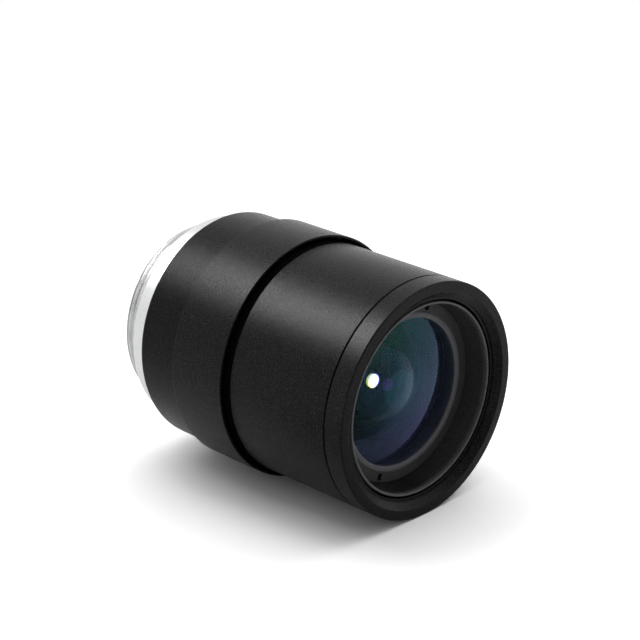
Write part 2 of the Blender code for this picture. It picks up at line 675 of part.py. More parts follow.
def make_cam_tube(parent):
    """Cam tube: its helical slots push the follower pins along the guide slots."""
    profile = [
        (CAM_FRONT, CAM_RADIUS),
        (CAM_REAR, CAM_RADIUS),
        (CAM_REAR, CAM_BORE),
        (CAM_FRONT, CAM_BORE),
    ]
    cam = ring("cam_tube", profile, parent, BRASS, INNER_STEPS)
    low, high = CAM_BORE - SIDE_PLAY / 2, CAM_RADIUS + SIDE_PLAY
    half = PIN_RADIUS + RUNNING_FIT
    cutters = []
    for i, angle in enumerate(around(PIN_COUNT, PIN_ANGLE)):
        end = (SLOT_END, angle - ZOOM_ANGLE)
        cutters.append(slot_cutter(f"cam_slot_{i + 1}", (PIN_X, angle), end, half, low, high))
    hole = LOCK_SHANK_RADIUS + RUNNING_FIT
    cutters.append(radial_cutter("cam_lock_hole", hole, low, high, ZOOM_LOCK_PLACE, ZOOM_LOCK_ANGLE))
    cut(cam, *cutters)


def make_lock(name, place, angle, tip, surface, parent):
    """Thumb screw with a fluted head, along a radial line."""
    neck = surface + SIDE_PLAY
    head = neck + LOCK_NECK_LENGTH
    top = head + LOCK_HEAD_LENGTH
    profile = [
        (top, 0.0),
        (top, LOCK_HEAD_RADIUS - LOCK_BEVEL),
        (top - LOCK_BEVEL, LOCK_HEAD_RADIUS),
        (head + LOCK_BEVEL, LOCK_HEAD_RADIUS),
        (head, LOCK_HEAD_RADIUS - LOCK_BEVEL),
        (head, LOCK_NECK_RADIUS),
        (neck, LOCK_NECK_RADIUS),
        (neck, LOCK_SHANK_RADIUS),
        (tip, LOCK_SHANK_RADIUS),
        (tip, 0.0),
    ]
    lock = stud(name, profile, place, angle, parent, BLACK, 2 * LOCK_FLUTES)
    flute(lock.data)


def flute(mesh):
    """Press every second edge of a thumb screw's head inwards."""
    for vertex in mesh.vertices:
        radius = math.hypot(vertex.co.x, vertex.co.y)
        if radius < LOCK_HEAD_RADIUS - LOCK_BEVEL / 2:
            continue
        step = round(math.atan2(vertex.co.y, vertex.co.x) / (math.pi / LOCK_FLUTES))
        if step % 2:
            keep = (radius - LOCK_FLUTE_DEPTH) / radius
            vertex.co.x *= keep
            vertex.co.y *= keep


def make_rear_cell(parent):
    """Rear cell: the sliding barrel of the rear lens group."""
    rear, front = REAR_CELL_START, REAR_CELL_FRONT
    bore = REAR_CELL_RADIUS - REAR_CELL_WALL
    eye = bore - REAR_LIP_WIDTH
    profile = [
        (front, REAR_CELL_RADIUS),
        (rear, REAR_CELL_RADIUS),
        (rear, eye + REAR_LIP_THICKNESS / 2),
        (rear + REAR_LIP_THICKNESS / 2, eye),
        (rear + REAR_LIP_THICKNESS, eye),
        (rear + REAR_LIP_THICKNESS, bore),
        (front, bore),
    ]
    cell = ring("rear_cell", profile, parent, BLACK, INNER_STEPS)
    floor = REAR_CELL_RADIUS - PIN_SINK - SEAT_GAP
    radius = PIN_RADIUS + SCREW_HOLE_FIT
    high = REAR_CELL_RADIUS + SIDE_PLAY
    holes = [radial_cutter(f"pin_hole_{i + 1}", radius, floor, high, PIN_X, angle)
             for i, angle in enumerate(around(PIN_COUNT, PIN_ANGLE))]
    cut(cell, *holes)


def make_pins(parent):
    """Follower pins, pressed into the rear cell and running in both tubes."""
    base = REAR_CELL_RADIUS - PIN_SINK
    profile = [
        (CAM_RADIUS, 0.0),
        (CAM_RADIUS, PIN_RADIUS),
        (base, PIN_RADIUS),
        (base, 0.0),
    ]
    for i, angle in enumerate(around(PIN_COUNT, PIN_ANGLE)):
        stud(f"follower_pin_{i + 1}", profile, PIN_X, angle, parent, STEEL)


def make_stack(stack, start, edge, parent):
    """Turn a stack of elements and spacers, from its rear lip forwards."""
    eye = edge - SPACER_WIDTH
    rear = start
    for name, thickness, rear_rise, front_rise in stack:
        front = rear + thickness
        if rear_rise is None:
            spacer(name, rear, front, edge, eye, parent, LENS_STEPS)
        else:
            element(name, (rear, front), (rear_rise, front_rise), (eye, eye), edge, parent)
        rear = front + SEAT_GAP


def make_stop(parent):
    """Aperture stop: a thin cup with a round hole, in front of the rear elements."""
    edge = REAR_LENS_RADIUS
    profile = [
        (STOP_FRONT, edge),
        (STOP_REAR, edge),
        (STOP_REAR, edge - SPACER_WIDTH),
        (STOP_FRONT - STOP_THICKNESS, edge - SPACER_WIDTH),
        (STOP_FRONT - STOP_THICKNESS, STOP_RADIUS),
        (STOP_FRONT, STOP_RADIUS),
    ]
    ring("aperture_stop", profile, parent, DULL_BLACK, INNER_STEPS)


def make_rear_retainer(parent):
    """Slotted ring that clamps the stop and the rear elements."""
    rear, front = STOP_FRONT + SEAT_GAP, REAR_CELL_FRONT
    edge = REAR_LENS_RADIUS
    retainer = spacer("rear_retainer", rear, front, edge, edge - REAR_RETAINER_WIDTH, parent)
    size = (2 * NOTCH_DEPTH, 3 * edge, NOTCH_WIDTH)
    cut(retainer, box_cutter("rear_retainer_slot", size, (front, 0.0, 0.0)))


def make_barrel(parent):
    """Focus barrel: the outer tube and, on a web inside it, the focusing nut."""
    shoulder = CELL_FLANGE_REAR - SEAT_GAP
    profile = [
        (BARREL_FRONT, BARREL_RADIUS - BARREL_BEVEL),
        (BARREL_FRONT - BARREL_BEVEL, BARREL_RADIUS),
        (BARREL_REAR, BARREL_RADIUS),
        (BARREL_REAR, BARREL_BORE),
        (WEB_REAR, BARREL_BORE),
        (WEB_REAR, NUT_RADIUS),
        (NUT_REAR, NUT_RADIUS),
        (NUT_REAR, NUT_BORE),
        (NUT_FRONT, NUT_BORE),
        (NUT_FRONT, NUT_RADIUS),
        (WEB_FRONT, NUT_RADIUS),
        (WEB_FRONT, CELL_RIM_RADIUS),
        (shoulder, CELL_RIM_RADIUS),
        (shoulder, CELL_FLANGE_RADIUS + RUNNING_FIT),
        (RING_THREAD_REAR, CELL_FLANGE_RADIUS + RUNNING_FIT),
        (RING_THREAD_REAR, RING_THREAD_RADIUS),
        (BARREL_FRONT, RING_THREAD_RADIUS),
    ]
    barrel = ring("focus_barrel", profile, parent, BLACK)
    hole = LOCK_SHANK_RADIUS + RUNNING_FIT
    reach = (NUT_BORE - SIDE_PLAY, BARREL_RADIUS + SIDE_PLAY)
    cut(barrel, radial_cutter("focus_lock_hole", hole, *reach, FOCUS_LOCK_PLACE, FOCUS_LOCK_ANGLE))


def make_front_ring(parent):
    """Front ring: a flat face, a cone into the recess and a threaded spigot."""
    spigot = RING_THREAD_RADIUS - SEAT_GAP
    profile = [
        (RING_FRONT, BARREL_RADIUS - RING_BEVEL),
        (RING_FRONT - RING_BEVEL, BARREL_RADIUS),
        (RING_REAR + BARREL_BEVEL, BARREL_RADIUS),
        (RING_REAR, BARREL_RADIUS - BARREL_BEVEL),
        (RING_REAR, spigot),
        (RING_THREAD_REAR, spigot),
        (RING_THREAD_REAR, RING_BORE),
        (LIP_PLACE, RING_BORE),
        (LIP_PLACE, CONE_RADIUS),
        (RING_FRONT - CONE_DEPTH, CONE_RADIUS),
        (RING_FRONT, FACE_RADIUS),
    ]
    ring("front_ring", profile, parent, BLACK)


def make_front_cell(parent):
    """Front cell: the deep mouth, the front lens seat and the keyed spigot."""
    profile = [
        (CELL_FRONT, CELL_RIM_RADIUS - CELL_RIM_BEVEL),
        (CELL_FRONT - CELL_RIM_BEVEL, CELL_RIM_RADIUS),
        (CELL_FLANGE_FRONT, CELL_RIM_RADIUS),
        (CELL_FLANGE_FRONT, CELL_FLANGE_RADIUS),
        (CELL_FLANGE_REAR, CELL_FLANGE_RADIUS),
        (CELL_FLANGE_REAR, CELL_BODY_RADIUS),
        (CELL_SHOULDER_REAR, CELL_BODY_RADIUS),
        (CELL_SHOULDER_REAR, SPIGOT_RADIUS),
        (CELL_REAR, SPIGOT_RADIUS),
        (CELL_REAR, SPIGOT_BORE - CELL_LIP_WIDTH),
        (CELL_REAR + CELL_LIP_THICKNESS, SPIGOT_BORE - CELL_LIP_WIDTH),
        (CELL_REAR + CELL_LIP_THICKNESS, SPIGOT_BORE),
        (CELL_SEAT, SPIGOT_BORE),
        (CELL_SEAT, FRONT_LENS_SEAT),
        (RETAINER_REAR - SEAT_GAP, FRONT_LENS_SEAT),
        (RETAINER_REAR - SEAT_GAP, RECESS_FLOOR),
        (RETAINER_PLACE, RECESS_FLOOR),
        (CELL_FRONT - CELL_RIM_BEVEL, RECESS_MOUTH),
        (CELL_FRONT, RECESS_MOUTH + CELL_RIM_BEVEL),
    ]
    cell = ring("front_cell", profile, parent, BLACK)
    radius = KEY_RADIUS + SCREW_HOLE_FIT
    reach = (SPIGOT_RADIUS - KEY_SINK - SEAT_GAP, SPIGOT_RADIUS + SIDE_PLAY)
    cut(cell, radial_cutter("key_hole", radius, *reach, KEY_X, KEY_ANGLE))


def make_key(parent):
    """Guide key: a pin that stops the front cell from turning as it slides."""
    base = SPIGOT_RADIUS - KEY_SINK
    profile = [
        (TUBE_RADIUS, 0.0),
        (TUBE_RADIUS, KEY_RADIUS),
        (base, KEY_RADIUS),
        (base, 0.0),
    ]
    stud("guide_key", profile, KEY_X, KEY_ANGLE, parent, STEEL)


def make_front_retainer(parent):
    """Front retainer: a rounded lip over the lens and two spanner notches."""
    middle = (RETAINER_LIP_RADIUS + RETAINER_EYE) / 2
    profile = [
        (RETAINER_PLACE, RETAINER_RADIUS),
        (RETAINER_REAR, RETAINER_RADIUS),
        (RETAINER_REAR, FRONT_LENS_SEAT + SEAT_GAP),
        (RETAINER_UNDERSIDE, FRONT_LENS_SEAT + SEAT_GAP),
        (RETAINER_UNDERSIDE, RETAINER_EYE),
        (RETAINER_PLACE, RETAINER_EYE),
        (RETAINER_PLACE + RETAINER_LIP_RISE, middle),
        (RETAINER_PLACE, RETAINER_LIP_RADIUS),
    ]
    retainer = ring("front_retainer", profile, parent, BLACK)
    centre = RETAINER_RADIUS - NOTCH_INSET - NOTCH_LENGTH / 2
    size = (2 * NOTCH_DEPTH, NOTCH_LENGTH, NOTCH_WIDTH)
    notches = []
    for i, angle in enumerate(around(2, NOTCH_ANGLE)):
        place = (RETAINER_PLACE, centre * math.cos(angle), centre * math.sin(angle))
        notches.append(box_cutter(f"notch_{i + 1}", size, place, angle))
    cut(retainer, *notches)


def make_front_lens(parent):
    """Front meniscus: gently curved in front and deeply hollow behind."""
    reach = FRONT_LENS_RADIUS - FRONT_LENS_LAND
    hollow = FRONT_LENS_VERTEX - FRONT_LENS_CENTRE - FRONT_LENS_REAR
    places = (FRONT_LENS_REAR, FRONT_LENS_RIM)
    element("front_lens_1", places, (-hollow, FRONT_LENS_RISE), (reach, FRONT_LENS_RADIUS),
            FRONT_LENS_RADIUS, parent, INNER_STEPS, DEEP_ARC_STEPS)


def build():
    """Model the whole lens."""
    axes = make_axes()
    fixed = axes["fixed_axis"]
    make_mount(fixed)
    make_housing(fixed)
    make_screws(fixed)
    make_main_tube(fixed)
    make_clip(fixed)

    zoom_turn = axes["zoom_turn_axis"]
    make_zoom_ring(zoom_turn)
    make_cam_tube(zoom_turn)
    tip = TUBE_RADIUS + RUNNING_FIT
    make_lock("zoom_lock_screw", ZOOM_LOCK_PLACE, ZOOM_LOCK_ANGLE, tip, SLEEVE_RADIUS, zoom_turn)

    zoom_travel = axes["zoom_travel_axis"]
    make_rear_cell(zoom_travel)
    make_pins(zoom_travel)
    make_stack(REAR_STACK, REAR_STACK_START, REAR_LENS_RADIUS, zoom_travel)
    make_stop(zoom_travel)
    make_rear_retainer(zoom_travel)

    focus_travel = axes["focus_travel_axis"]
    make_front_cell(focus_travel)
    make_key(focus_travel)
    make_front_retainer(focus_travel)
    make_front_lens(focus_travel)
    make_stack(FRONT_STACK, FRONT_STACK_START, INNER_LENS_RADIUS, focus_travel)

    focus_turn = axes["focus_turn_axis"]
    make_barrel(focus_turn)
    make_front_ring(focus_turn)
    make_lock("focus_lock_screw", FOCUS_LOCK_PLACE, FOCUS_LOCK_ANGLE, tip, BARREL_RADIUS, focus_turn)


for old in list(bpy.data.objects):
    bpy.data.objects.remove(old)
LENS, CUTTERS = make_collections()
build()
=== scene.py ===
"""Looks of a varifocal lens for a security camera, piece by piece, in a white studio.

Lengths are in metres. The optical axis is the X axis, the front glass looks
along +X, and angles round the axis are counted from +Y towards +Z. Places along
the axis are counted from the flange seat, and radii from the axis.
"""
import math

import bmesh
import bpy
from bpy.props import FloatProperty, FloatVectorProperty, IntProperty, PointerProperty
from mathutils import Matrix, Vector


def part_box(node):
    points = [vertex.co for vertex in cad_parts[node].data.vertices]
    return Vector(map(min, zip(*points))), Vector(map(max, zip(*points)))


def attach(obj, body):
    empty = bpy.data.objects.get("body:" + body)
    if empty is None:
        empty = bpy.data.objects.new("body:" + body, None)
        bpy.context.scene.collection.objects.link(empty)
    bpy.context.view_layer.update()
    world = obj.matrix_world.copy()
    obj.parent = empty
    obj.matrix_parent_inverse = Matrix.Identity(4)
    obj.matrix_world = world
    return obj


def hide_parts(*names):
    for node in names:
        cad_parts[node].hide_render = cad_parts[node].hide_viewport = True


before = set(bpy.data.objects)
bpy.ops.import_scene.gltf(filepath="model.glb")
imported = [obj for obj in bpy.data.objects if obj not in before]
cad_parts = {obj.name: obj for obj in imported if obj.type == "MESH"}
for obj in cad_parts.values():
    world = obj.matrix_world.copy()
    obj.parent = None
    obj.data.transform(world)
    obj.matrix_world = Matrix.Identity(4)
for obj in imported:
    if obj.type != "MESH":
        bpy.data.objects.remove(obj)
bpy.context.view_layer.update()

bl_info = {
    "name": "Varifocal lens",
    "version": (1, 0, 0),
    "blender": (4, 5, 0),
    "location": "View3D > Sidebar > Varifocal lens",
    "description": "Builds a small varifocal camera lens and the studio round it",
    "category": "Object",
}

MM = 0.001


# Measures that the frame gives

def span(node):
    """Return the rear place, the front place and the outer radius of a turned node."""
    low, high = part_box(node)
    return low.x, high.x, high.z


THREAD_REAR, FLANGE_FRONT, FLANGE_RADIUS = span("mount_ring")
HOUSING_REAR, JOURNAL_FRONT, HOUSING_RADIUS = span("rear_housing")
SLEEVE_REAR, SLEEVE_FRONT, SLEEVE_RADIUS = span("zoom_ring")
BARREL_REAR, BARREL_FRONT, BARREL_RADIUS = span("focus_barrel")
RING_THREAD_REAR, RING_FRONT, RING_RADIUS = span("front_ring")
CELL_REAR, CELL_FRONT, CELL_FLANGE_RADIUS = span("front_cell")
RETAINER_REAR, RETAINER_FRONT, RETAINER_RADIUS = span("front_retainer")
MENISCUS_REAR, MENISCUS_FRONT, MENISCUS_RADIUS = span("front_lens_1")


# Machined sizes

THREAD_CREST = 12.7 * MM
THREAD_ROWS = 96
THREAD_FLAT = 0.12
THREAD_FLANK = 0.7
RELIEF_WIDTH = 0.45 * MM
EYE_RADIUS = 9.2 * MM
SCREW_CIRCLE = 10.4 * MM
SEAT_GAP = 0.05 * MM
# Width of the painted shadow that the sleeve's lip casts on the barrel
SHADOW_STRIP_WIDTH = 1.05 * MM
LOCK_HOLE = 1.15 * MM
ZOOM_LOCK = (13.9 * MM, math.radians(-5))
FOCUS_LOCK = (24.65 * MM, math.radians(-40))
KNURL_ROWS = 40


# Places, directions and greys in the studio

FOOT = Vector((0.0189, 0.0, -0.0163))
FLOOR_LEAN = 0.0398
LENS_MIDDLE = Vector((0.02, 0.0, 0.0))
CAMERA_PLACE = (0.193855, -0.175224, 0.105612)
CAMERA_RIGHT = (0.7105539, 0.7036428, 0.0)
CAMERA_UP = (-0.2644999, 0.2670978, 0.9266599)
CAMERA_SIDE = (0.652, -0.658, 0.376)
CAMERA_SIDE_FLAT = (0.704, -0.71, 0.0)
BACKLIT_SIDE = (-0.55, 0.6, 0.58)
WHITE = (1.0, 1.0, 1.0, 1.0)
PAPER_GREY = (0.8, 0.8, 0.8, 1.0)


# Settings

def length(name, description, default):
    """Return a setting that is a length."""
    return FloatProperty(name=name, description=description, default=default, unit="LENGTH")


def whole(name, description, default, least):
    """Return a setting that is a whole number."""
    return IntProperty(name=name, description=description, default=default, min=least)


def amount(name, description, default, least=0.0):
    """Return a setting that is a power, a strength or a focal length."""
    return FloatProperty(name=name, description=description, default=default, min=least)


def paint(name, description, default):
    """Return a setting that is a colour."""
    return FloatVectorProperty(name=name, description=description, default=default,
                               subtype="COLOR")


class LensSizes(bpy.types.PropertyGroup):
    """Sizes of the machined details."""

    turn_steps: whole("Turn steps", "Facets round a turned piece", 176, 24)
    edge_break: length("Edge break", "Radius of a broken edge", 0.07 * MM)
    thread_pitch: length("Mount pitch", "Advance of the mount thread in one turn", 25.4 / 32 * MM)
    thread_depth: length("Mount thread depth", "Depth of the mount thread", 0.43 * MM)
    knurl_teeth: whole("Knurl teeth", "Ridges round a thumb screw", 24, 8)
    knurl_depth: length("Knurl depth", "Depth of the knurl", 0.14 * MM)


class LensColours(bpy.types.PropertyGroup):
    """Colours of the finishes."""

    anodised: paint("Black anodising", "Colour of the outer black", (0.0016, 0.0016, 0.00164))
    inner_black: paint("Inner black", "Colour of the blackened insides", (0.009, 0.009, 0.0093))
    retainer: paint("Retainer", "Colour of the front retainer", (0.038, 0.038, 0.04))
    silver: paint("Silver", "Colour of the clear anodised mount", (0.74, 0.745, 0.75))
    brass: paint("Brass", "Colour of the tubes inside", (0.72, 0.55, 0.26))
    steel: paint("Steel", "Colour of screws and pins", (0.56, 0.56, 0.57))
    glass_edge: paint("Glass edge", "Colour of the front glass's black edge", (0.095, 0.125, 0.2))
    coating: paint("Front coating", "Tint of the front glass's reflection", (0.8, 0.9, 1.0))
    low_coating: paint("Low coating", "Tint of the front glass's lower part", (0.88, 0.58, 1.0))
    high_coating: paint("High coating", "Tint of the front glass's upper part", (0.5, 0.7, 0.62))
    hollow_coating: paint("Hollow coating", "Tint of the hollow face's reflection",
                          (0.05, 0.1, 0.35))
    inner_coating: paint("Inner coating", "Tint of the inner reflections", (0.3, 0.5, 0.8))


class Studio(bpy.types.PropertyGroup):
    """Light, floor and camera."""

    paper: amount("Paper", "Brightness of the floor as it is seen", 1.2)
    key: amount("Softbox", "Power of the softbox in watts", 0.6)
    gleam: amount("Gleam", "Power of the strip that only shows in gloss, in watts", 0.32)
    fill: amount("Fill", "Power of the overhead sheet in watts", 4.2)
    ambient: amount("Ambient", "Strength of the white room", 0.5)
    focal: amount("Focal length", "Focal length of the camera in millimetres", 116.46, 1.0)


# Outlines and meshes

def mm(*sizes):
    """Return sizes given in millimetres in metres."""
    return [size * MM for size in sizes]


def soften(outline, closed=True):
    """Return (x, radius) points of an outline of (x, radius, bevel) corners.

    A corner with a bevel becomes a small arc. A holding point on both sides of
    it keeps the shading of the faces beside it flat.
    """
    arc_step = math.radians(24)
    hold = 1.3
    points = []
    count = len(outline)
    for i, (x, radius, bevel) in enumerate(outline):
        here = Vector((x, radius))
        if not bevel or (not closed and i in (0, count - 1)):
            points.append(tuple(here))
            continue
        back = (Vector(outline[i - 1][:2]) - here).normalized()
        ahead = (Vector(outline[(i + 1) % count][:2]) - here).normalized()
        half = back.angle(ahead) / 2
        run = bevel / math.tan(half)
        centre = here + (back + ahead).normalized() * bevel / math.sin(half)
        first, last = here + back * run - centre, here + ahead * run - centre
        steps = max(2, math.ceil((math.pi - 2 * half) / arc_step))
        points.append(tuple(here + back * run * hold))
        for step in range(steps + 1):
            spoke = first.slerp(last, step / steps).normalized()
            points.append(tuple(centre + spoke * bevel))
        points.append(tuple(here + ahead * run * hold))
    return points


def mesh_object(name, shape):
    """Turn a bmesh into an object in the scene, with its faces looking outwards."""
    bmesh.ops.recalc_face_normals(shape, faces=shape.faces)
    mesh = bpy.data.meshes.new(name)
    shape.to_mesh(mesh)
    shape.free()
    obj = bpy.data.objects.new(name, mesh)
    bpy.context.scene.collection.objects.link(obj)
    return obj


def skin(shape, rings, closed):
    """Join neighbouring rings of vertices with faces; a ring may be one point."""
    pairs = list(zip(rings, rings[1:]))
    if closed:
        pairs.append((rings[-1], rings[0]))
    steps = max(len(ring) for ring in rings)
    for near, far in pairs:
        for i in range(steps):
            after = (i + 1) % steps
            corners = (near[i % len(near)], near[after % len(near)],
                       far[after % len(far)], far[i % len(far)])
            corners = list(dict.fromkeys(corners))
            if len(corners) > 2:
                shape.faces.new(corners)


def swept(name, places, radius_at, steps, closed):
    """Return a piece round the X axis whose radius may change with the angle."""
    on_axis = 1e-7
    shape = bmesh.new()
    rings = []
    for row, x in enumerate(places):
        ring = []
        for i in range(steps):
            angle = 2 * math.pi * i / steps
            radius = radius_at(row, x, angle)
            if radius < on_axis:
                ring = [shape.verts.new((x, 0.0, 0.0))]
                break
            ring.append(shape.verts.new((x, radius * math.cos(angle), radius * math.sin(angle))))
        rings.append(ring)
    skin(shape, rings, closed)
    return mesh_object(name, shape)


def turned(name, outline, closed=True, steps=None):
    """Return a piece turned round the X axis from an outline with bevels."""
    points = soften(outline, closed)
    steps = steps or bpy.context.scene.lens_sizes.turn_steps
    places = [x for x, _ in points]
    return swept(name, places, lambda row, x, angle: points[row][1], steps, closed)


def carve(obj, *cutters):
    """Cut away the shape of each cutter and drop the cutters."""
    for cutter in cutters:
        boolean = obj.modifiers.new("Cut", "BOOLEAN")
        boolean.solver = "EXACT"
        boolean.object = cutter
    bpy.context.view_layer.update()
    graph = bpy.context.evaluated_depsgraph_get()
    mesh = bpy.data.meshes.new_from_object(obj.evaluated_get(graph))
    obj.modifiers.clear()
    obj.data = mesh
    for cutter in cutters:
        bpy.data.objects.remove(cutter)


def rod(radius, low, high, steps=48):
    """Return a round cutter along the X axis."""
    outline = [(high, 0, 0), (high, radius, 0), (low, radius, 0), (low, 0, 0)]
    return turned("hole", outline, closed=False, steps=steps)


def radial(place, angle):
    """Return the matrix that lays a piece turned round X along a radial line."""
    turn = Matrix.Rotation(angle, 4, "X") @ Matrix.Rotation(math.pi / 2, 4, "Z")
    return Matrix.Translation((place, 0.0, 0.0)) @ turn


def radial_rod(radius, low, high, place, angle):
    """Return a round cutter along a radial line at an angle from +Y to +Z."""
    obj = rod(radius, low, high)
    obj.matrix_world = radial(place, angle)
    return obj


def block(name, size, place, angle):
    """Return a box cutter, turned about the optical axis."""
    shape = bmesh.new()
    bmesh.ops.create_cube(shape, size=1.0)
    bmesh.ops.scale(shape, vec=size, verts=shape.verts)
    obj = mesh_object(name, shape)
    obj.matrix_world = Matrix.Translation(place) @ Matrix.Rotation(angle, 4, "X")
    return obj


def place_in(obj, look, body, *nodes, slot=None):
    """Give a finished piece its look and its body, and let it stand for its node.

    It is shaded smooth, with its machined edges sharp.
    """
    obj.data.transform(obj.matrix_world)
    obj.matrix_world = Matrix.Identity(4)
    obj.data.materials.clear()
    obj.data.materials.append(look)
    obj.data.shade_smooth()
    obj.data.set_sharp_from_angle(angle=math.radians(32))
    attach(obj, body)
    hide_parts(*nodes)
    return obj


# Node trees

class Nodes:
    """A node tree under way. Its values are sockets or constants."""

    def __init__(self, tree):
        self.tree = tree

    def node(self, kind, **settings):
        """Add a node and set its properties."""
        node = self.tree.nodes.new(kind)
        for name, value in settings.items():
            setattr(node, name, value)
        return node

    def feed(self, socket, value):
        """Give an input its value: link a socket to it, or set a constant."""
        if isinstance(value, bpy.types.NodeSocket):
            self.tree.links.new(value, socket)
        else:
            socket.default_value = value

    def spread(self, value, low, high, start=0.3, end=0.7, shape="LINEAR"):
        """Map a value between two ends."""
        node = self.node("ShaderNodeMapRange", interpolation_type=shape)
        ends = {"Value": value, "From Min": start, "From Max": end, "To Min": low, "To Max": high}
        for name, end_value in ends.items():
            self.feed(node.inputs[name], end_value)
        return node.outputs["Result"]

    def step(self, value, below, above, place, soft):
        """Return one value below a place and another above it, with a soft edge."""
        return self.spread(value, below, above, place - soft, place + soft)

    def sums(self, kind, first, second=0.0):
        """Return a value worked out from one or two values."""
        node = self.node("ShaderNodeMath", operation=kind)
        self.feed(node.inputs[0], first)
        self.feed(node.inputs[1], second)
        return node.outputs["Value"]

    def vectors(self, kind, first, second=None, scale=None):
        """Return what is worked out from one or two vectors or colours."""
        node = self.node("ShaderNodeVectorMath", operation=kind)
        self.feed(node.inputs[0], first)
        if second is not None:
            self.feed(node.inputs[1], second)
        if scale is not None:
            self.feed(node.inputs["Scale"], scale)
        return node.outputs["Value" if kind in ("LENGTH", "DOT_PRODUCT") else "Vector"]

    def grey(self, value):
        """Return the grey of a given brightness."""
        tone = self.node("ShaderNodeCombineColor")
        for channel in ("Red", "Green", "Blue"):
            self.feed(tone.inputs[channel], value)
        return tone.outputs["Color"]

    def mixed(self, share, first, second):
        """Return a value between two."""
        mix = self.node("ShaderNodeMix")
        for name, value in (("Factor", share), ("A", first), ("B", second)):
            self.feed(mix.inputs[name], value)
        return mix.outputs["Result"]

    def blended(self, share, first, second):
        """Return a shader between two."""
        mix = self.node("ShaderNodeMixShader")
        for socket, value in zip(mix.inputs, (share, first, second)):
            self.feed(socket, value)
        return mix.outputs["Shader"]

    def matt(self, colour):
        """Return a matt shader."""
        node = self.node("ShaderNodeBsdfDiffuse")
        self.feed(node.inputs["Color"], colour)
        return node.outputs["BSDF"]

    def rays(self):
        """Return the kinds of ray, and 1 for rays that show the surface to the camera.

        These are camera, glossy and transmission rays. The rest only carry light.
        """
        kinds = self.node("ShaderNodeLightPath").outputs
        seen = self.sums("MAXIMUM", kinds["Is Camera Ray"], kinds["Is Glossy Ray"])
        return kinds, self.sums("MAXIMUM", seen, kinds["Is Transmission Ray"])


# Finishes

def scaled(colour, factor):
    """Return a colour made lighter or darker."""
    return tuple(part * factor for part in colour)


class Finish(Nodes):
    """A material under way: its node tree and its Principled shader."""

    def __init__(self, name, colour, roughness, metallic=0.0):
        self.material = bpy.data.materials.new(name)
        self.material.use_nodes = True
        super().__init__(self.material.node_tree)
        self.shader = self.tree.nodes["Principled BSDF"]
        self.set(Base_Color=(*colour, 1.0), Roughness=roughness, Metallic=metallic)
        self.material.diffuse_color = (*colour, 1.0)
        self.coords = self.node("ShaderNodeTexCoord").outputs["Object"]

    def set(self, **values):
        """Feed sockets of the shader by name, with underscores for spaces."""
        for name, value in values.items():
            self.feed(self.shader.inputs[name.replace("_", " ")], value)

    def grain(self, size, detail=2.0, rough=0.6):
        """Return a noise with features of a given size."""
        noise = self.node("ShaderNodeTexNoise")
        settings = {"Scale": 0.5 / size, "Detail": detail, "Roughness": rough}
        for name, value in settings.items():
            noise.inputs[name].default_value = value
        self.feed(noise.inputs["Vector"], self.coords)
        return noise.outputs["Fac"]

    def tints(self, value, *stops):
        """Return a colour ramp over a value, from (place, colour) stops."""
        ramp = self.node("ShaderNodeValToRGB")
        marks = ramp.color_ramp.elements
        while len(marks) < len(stops):
            marks.new(0.5)
        for mark, (place, colour) in zip(marks, stops):
            mark.position = place
            mark.color = (*colour, 1.0)
        self.feed(ramp.inputs["Fac"], value)
        return ramp.outputs["Color"]

    def parts(self):
        """Return the place along the axis, towards +Y and towards +Z."""
        split = self.node("ShaderNodeSeparateXYZ")
        self.feed(split.inputs["Vector"], self.coords)
        return [split.outputs[name] for name in "XYZ"]

    def emboss(self, value, depth):
        """Give the surface a bump of a given depth, on top of those it has."""
        bump = self.node("ShaderNodeBump")
        bump.inputs["Strength"].default_value = 1.0
        bump.inputs["Distance"].default_value = depth
        self.feed(bump.inputs["Height"], value)
        before = self.shader.inputs["Normal"]
        if before.is_linked:
            self.feed(bump.inputs["Normal"], before.links[0].from_socket)
        self.set(Normal=bump.outputs["Normal"])

    def tool_marks(self, pitch, depth):
        """Emboss the fine rings that a lathe leaves, and return the distance from the axis."""
        along, right, up = self.parts()
        flat = self.node("ShaderNodeCombineXYZ")
        self.feed(flat.inputs["X"], right)
        self.feed(flat.inputs["Y"], up)
        across = self.vectors("LENGTH", flat.outputs["Vector"])
        turns = self.sums("MULTIPLY", self.sums("ADD", along, across), 2 * math.pi / pitch)
        self.emboss(self.sums("SINE", turns), depth)
        return across

    def discs(self, marks, soft=0.08 * MM):
        """Return soft coloured discs laid across the axis, and the place along it.

        Each mark is a centre from the axis towards +Y and +Z, a radius and a colour.
        """
        along, right, up = self.parts()
        total = None
        for (centre_right, centre_up), radius, colour in marks:
            sideways = self.sums("SUBTRACT", right, centre_right)
            upwards = self.sums("SUBTRACT", up, centre_up)
            square = self.sums("ADD", self.sums("MULTIPLY", sideways, sideways),
                               self.sums("MULTIPLY", upwards, upwards))
            inside = self.step(self.sums("SQRT", square), 1.0, 0.0, radius, soft)
            disc = self.vectors("SCALE", colour, scale=inside)
            total = disc if total is None else self.vectors("ADD", total, disc)
        return total, along


def blasted_black(name, colour, sparkle=15.0, gloss=0.105, grain=0.12 * MM, depth=0.042 * MM):
    """Bead blasted and black anodised aluminium: a fine even grain with soft gloss.

    Sparkle is how many times lighter than its colour the brightest facets are.
    """
    roughness, speckle, patches = 0.25, 0.09, 0.02
    finish = Finish(name, colour, roughness)
    fine = finish.grain(grain, detail=3.0, rough=0.65)
    facets = finish.grain(grain * 0.55, detail=1.0)
    cloud = finish.grain(2.4 * MM)
    change = finish.sums("ADD", finish.spread(facets, -speckle, speckle),
                         finish.spread(cloud, -patches, patches))
    tone = finish.tints(facets, (0.45, scaled(colour, 0.2)), (0.75, scaled(colour, sparkle)))
    finish.set(Specular_IOR_Level=gloss, Base_Color=tone,
               Roughness=finish.sums("ADD", change, roughness))
    finish.emboss(fine, depth * 0.7)
    finish.emboss(facets, depth * 0.55)
    return finish.material


